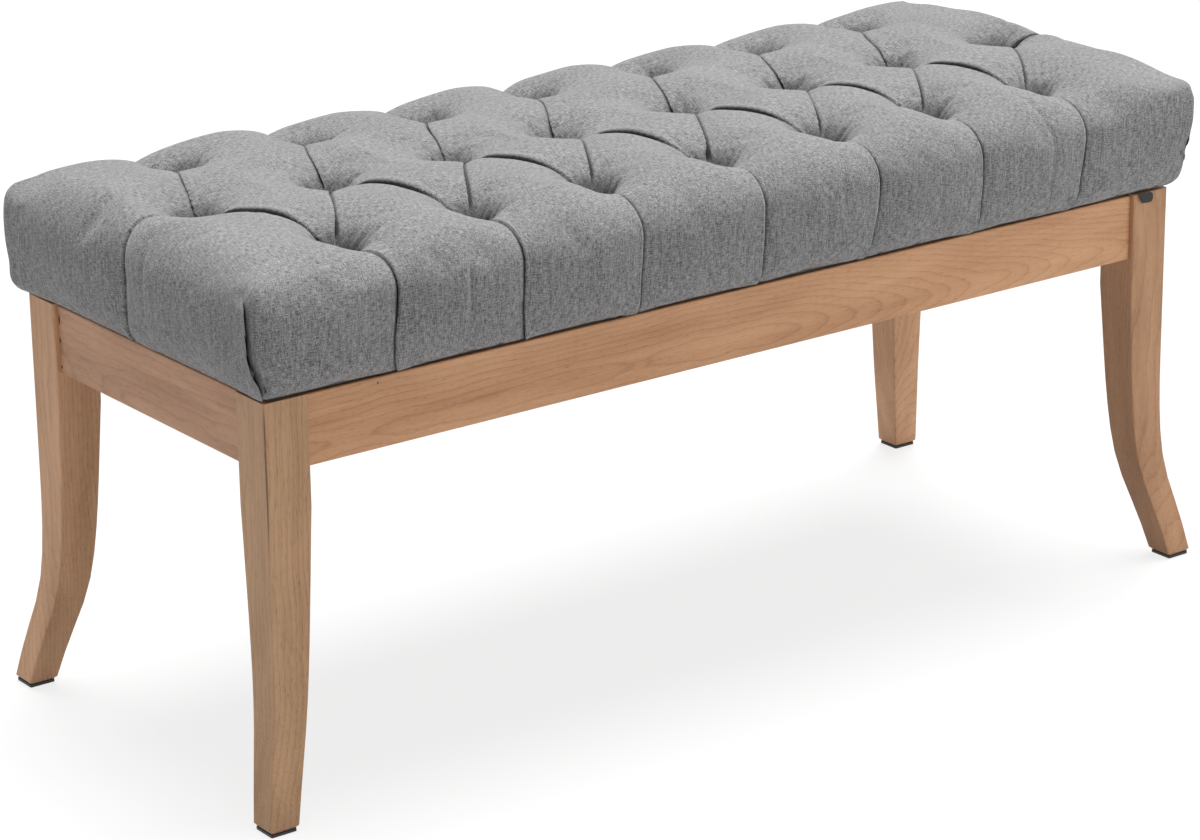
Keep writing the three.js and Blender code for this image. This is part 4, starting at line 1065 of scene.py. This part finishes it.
def dust_cloth():
    """Black cloth stapled under the seat, which sags a little between the aprons and the rail."""
    low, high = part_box("dust_cloth")
    deselect_all()
    bpy.ops.mesh.primitive_grid_add(x_subdivisions=72, y_subdivisions=28, size=1, location=(0, 0, 0))
    piece = bpy.context.object
    piece.name = piece.data.name = "dust_cloth_under_seat"
    width, depth = high[0] - low[0], high[1] - low[1]
    points = points_of(piece) * [width, depth, 0]
    sag = (np.cos(points[:, 1] / 0.165 * math.pi / 2).clip(0) ** 1.2
           * np.abs(np.sin(points[:, 0].clip(-0.474, 0.474) / 0.474 * math.pi)).clip(0) ** 0.8)
    points[:, 2] = low[2] + 0.1 * MM - 2.4 * MM * sag
    set_points(piece, points)
    solid = piece.modifiers.new("cloth_thickness", "SOLIDIFY")
    solid.thickness = 0.6 * MM
    solid.offset = 1
    bpy.ops.object.modifier_apply(modifier="cloth_thickness")
    drills = []
    for corner in ("front_left", "front_right", "back_right", "back_left"):
        a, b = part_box("seat_screw_" + corner)
        deselect_all()
        bpy.ops.mesh.primitive_cylinder_add(vertices=12, radius=2.6 * MM, depth=20 * MM,
                                            location=((a[0] + b[0]) / 2, (a[1] + b[1]) / 2, low[2]))
        drills.append(bpy.context.object)
    for drill in drills:
        drill.select_set(True)
    bpy.context.view_layer.objects.active = drills[0]
    bpy.ops.object.join()
    bpy.ops.object.transform_apply(location=True, rotation=True, scale=True)
    cutter = bpy.context.object
    make_active(piece)
    holes = piece.modifiers.new("screw_holes", "BOOLEAN")
    holes.object = cutter
    holes.solver = "EXACT"
    bpy.ops.object.modifier_apply(modifier="screw_holes")
    bpy.data.objects.remove(cutter)
    piece.data.materials.clear()
    piece.data.materials.append(black_dust_cloth())
    bpy.ops.object.shade_smooth_by_angle(angle=math.radians(40))
    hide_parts("dust_cloth")
    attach(piece, "root")


def side_tag():
    """Bare ribbon folded double, which slants out of the seam with its loose end rounded."""
    low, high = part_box("side_tag")
    deselect_all()
    bpy.ops.mesh.primitive_grid_add(x_subdivisions=24, y_subdivisions=12, size=1, location=(0, 0, 0))
    piece = bpy.context.object
    piece.name = piece.data.name = "bare_ribbon_tag"
    flat = points_of(piece)
    along, up = flat[:, 0] + 0.5, flat[:, 1] + 0.5
    half = 5 * MM
    reach = (along - 0.75) / 0.25
    rounded = np.sqrt(np.clip(1 - np.clip(reach, 0, 1) ** 2, 0.04, 1))
    x = low[0] + along * (high[0] - low[0]) + (0.5 - up) * (1 - along) * 6 * MM
    z = high[2] - half - 0.6 * MM * along + (up - 0.5) * 2 * half * (0.45 + 0.55 * rounded)
    y = (low[1] + high[1]) / 2 - 0.8 * MM * np.sin(up * math.pi) - 0.6 * MM * along
    set_points(piece, np.stack([x, y, z], -1))
    solid = piece.modifiers.new("double_ribbon", "SOLIDIFY")
    solid.thickness = 0.9 * MM
    solid.offset = 0
    bpy.ops.object.modifier_apply(modifier="double_ribbon")
    piece.data.materials.clear()
    piece.data.materials.append(tag_ribbon())
    bpy.ops.object.shade_smooth_by_angle(angle=math.radians(50))
    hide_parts("side_tag")
    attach(piece, "root")


padded_foam()
dust_cloth()
side_tag()


# ---------------------------------------------------------------- wood and small parts

def dress(name, material):
    for material_slot in nodes[name].material_slots:
        material_slot.material = material


def dress_frame():
    """Grain along each piece, each cut from its own board; the legs' colours also carry painted light."""
    pin_hole = ((-0.387, -0.1865, 0.3595, 1, 1, 1), 0.0006, 0.0011, "#3b2418")
    dress("apron_front", hardwood("stained_oak_front_apron", "x", (-0.172, 0.318), 0.0048, (0.25, 0.26, 0.066),
                                  "#ecb88c", "#b0764f", [pin_hole]))
    dress("apron_back", hardwood("stained_oak_back_apron", "x", (0.172, 0.322), 0.0048, (-0.2, 0.3, 0.05),
                                 "#ebb68c", "#b0764f"))
    chips = [((-0.4955, 0.146, height, 1, 1, tall), 0.0008, 0.002, "#4b3323")
             for height, tall in ((0.352, 0.35), (0.333, 0.6), (0.309, 1.0))]
    dress("apron_left", hardwood("stained_oak_left_apron", "y", (0.44, 0.31), 0.0042, (0.1, 0.2, 0.01),
                                 "#daaa87", "#9f7153", chips))
    dress("apron_right", hardwood("stained_oak_right_apron", "y", (-0.45, 0.35), 0.0042, (-0.1, 0.2, 0.012),
                                  "#d6a683", "#9c6e50"))
    # Painted shade: two thin dark lines down the outer front corner of the front left leg, where its edge falls in
    # shadow
    painted_edge_shade = [((-0.5, -0.191, 0.30, 1, 1, 0.018), 0.0007, 0.0016, "#5a3f2d"),
             ((-0.5, -0.191, 0.345, 1, 1, 0.05), 0.0006, 0.0014, "#5a3f2d")]
    # The legs' colours carry painted light: the back legs are painted lighter against the shade under the seat, the
    # front left leg a little lighter and the front right leg darker, to even out how the lamps light them
    legs = (("front_left", (-0.10, -0.58), (-0.2, 0.2, 0.006), "#dbb088", "#9c7151", painted_edge_shade),
            ("front_right", (0.02, 0.43), (-0.15, 0.2, 0.008), "#d1a27b", "#996a49", []),
            ("back_right", (0.33, 0.54), (-0.25, 0.2, 0.006), "#f4bf94", "#b6835e", []),
            ("back_left", (0.12, -0.40), (-0.2, 0.2, 0.006), "#eab992", "#aa7b54", []))
    for name, (y, x), swell, light, dark, marks in legs:
        dress("leg_" + name, hardwood("stained_oak_leg_" + name, "z", (y, -x), 0.0040, swell, light, dark, marks))
    blocks = hardwood("sawn_pine_blocks", "x", (0.0, 0.1), 0.005, (0, 0.4, 0.02), "#e0c196", "#b98d5c")
    rail = hardwood("sawn_pine_rail", "y", (0.05, 0.1), 0.005, (0, 0.2, 0.01), "#e0c196", "#b98d5c")
    plastic, steel, twine = glide_polythene(), zinc_plated_steel(), waxed_twine()
    dress("centre_rail", rail)
    dress("seat_board", board_plywood())
    finishes = (("corner_block_", blocks), ("floor_glide_", plastic), ("tuft_tie_", twine), ("hanger_bolt_", steel),
                ("washer_", steel), ("hex_nut_", steel), ("seat_screw_", steel))
    for name in nodes:
        for start, material in finishes:
            if name.startswith(start):
                dress(name, material)


dress_frame()


# ---------------------------------------------------------------- studio

def studio():
    """White paper sweep under one broad soft light from above."""
    deselect_all()
    bpy.ops.mesh.primitive_plane_add(size=40, location=(0, 0, -0.0005))
    floor = bpy.context.object
    floor.name = floor.data.name = "studio_floor"
    material, tree, surface = new_material("white_paper_floor")
    surface.inputs["Base Color"].default_value = srgb("#bababa")
    surface.inputs["Roughness"].default_value = 0.9
    surface.inputs["Specular IOR Level"].default_value = 0.1
    shaded = add_node(tree, "ShaderNodeBsdfDiffuse", Color=(1, 1, 1, 1))
    paper = add_node(tree, "ShaderNodeEmission", Color=(1, 1, 1, 1), Strength=1.0)
    rays = add_node(tree, "ShaderNodeLightPath")
    seen = add_node(tree, "ShaderNodeMath", {"operation": "MAXIMUM"}, i0=rays.outputs["Is Camera Ray"],
                    i1=rays.outputs["Is Glossy Ray"])
    seen = add_node(tree, "ShaderNodeMath", {"operation": "MAXIMUM"}, i0=seen.outputs[0],
                    i1=rays.outputs["Is Transmission Ray"])
    bright = add_node(tree, "ShaderNodeMixShader", i0=0.8, i1=shaded.outputs[0], i2=paper.outputs[0])
    mix = add_node(tree, "ShaderNodeMixShader", i0=seen.outputs[0], i1=surface.outputs[0], i2=bright.outputs[0])
    tree.links.new(mix.outputs[0], tree.nodes["Material Output"].inputs[0])
    floor.data.materials.append(material)
    world = bpy.data.worlds.new("studio_world")
    bpy.context.scene.world = world
    world.use_nodes = True
    tree = world.node_tree
    soft = tree.nodes["Background"]
    soft.inputs[0].default_value = (1, 1, 1, 1)
    soft.inputs[1].default_value = 0.33
    white = add_node(tree, "ShaderNodeBackground", Color=(1, 1, 1, 1), Strength=1.0)
    rays = add_node(tree, "ShaderNodeLightPath")
    seen = add_node(tree, "ShaderNodeMath", {"operation": "MAXIMUM"}, i0=rays.outputs["Is Camera Ray"],
                    i1=rays.outputs["Is Glossy Ray"])
    seen = add_node(tree, "ShaderNodeMath", {"operation": "MAXIMUM"}, i0=seen.outputs[0],
                    i1=rays.outputs["Is Transmission Ray"])
    mix = add_node(tree, "ShaderNodeMixShader", i0=seen.outputs[0], i1=soft.outputs[0], i2=white.outputs[0])
    tree.links.new(mix.outputs[0], tree.nodes["World Output"].inputs[0])
    lamp = bpy.data.lights.new("overhead_softbox", "SUN")
    lamp.energy = 3.75
    lamp.angle = math.radians(38)
    holder = bpy.data.objects.new("overhead_softbox", lamp)
    bpy.context.scene.collection.objects.link(holder)
    holder.rotation_euler = Vector((0.22, 0.15, 1)).to_track_quat("Z", "Y").to_euler()
    # Weak fill by the right end, which gets the more light in the photo
    fill = bpy.data.lights.new("right_fill_softbox", "AREA")
    fill.energy = 4.5
    fill.size = 0.8
    holder = bpy.data.objects.new("right_fill_softbox", fill)
    bpy.context.scene.collection.objects.link(holder)
    holder.location = (1.3, -1.3, 0.75)
    holder.rotation_euler = Vector((0.85, -1.1, 0.4)).to_track_quat("Z", "Y").to_euler()
    holder.visible_camera = False


studio()
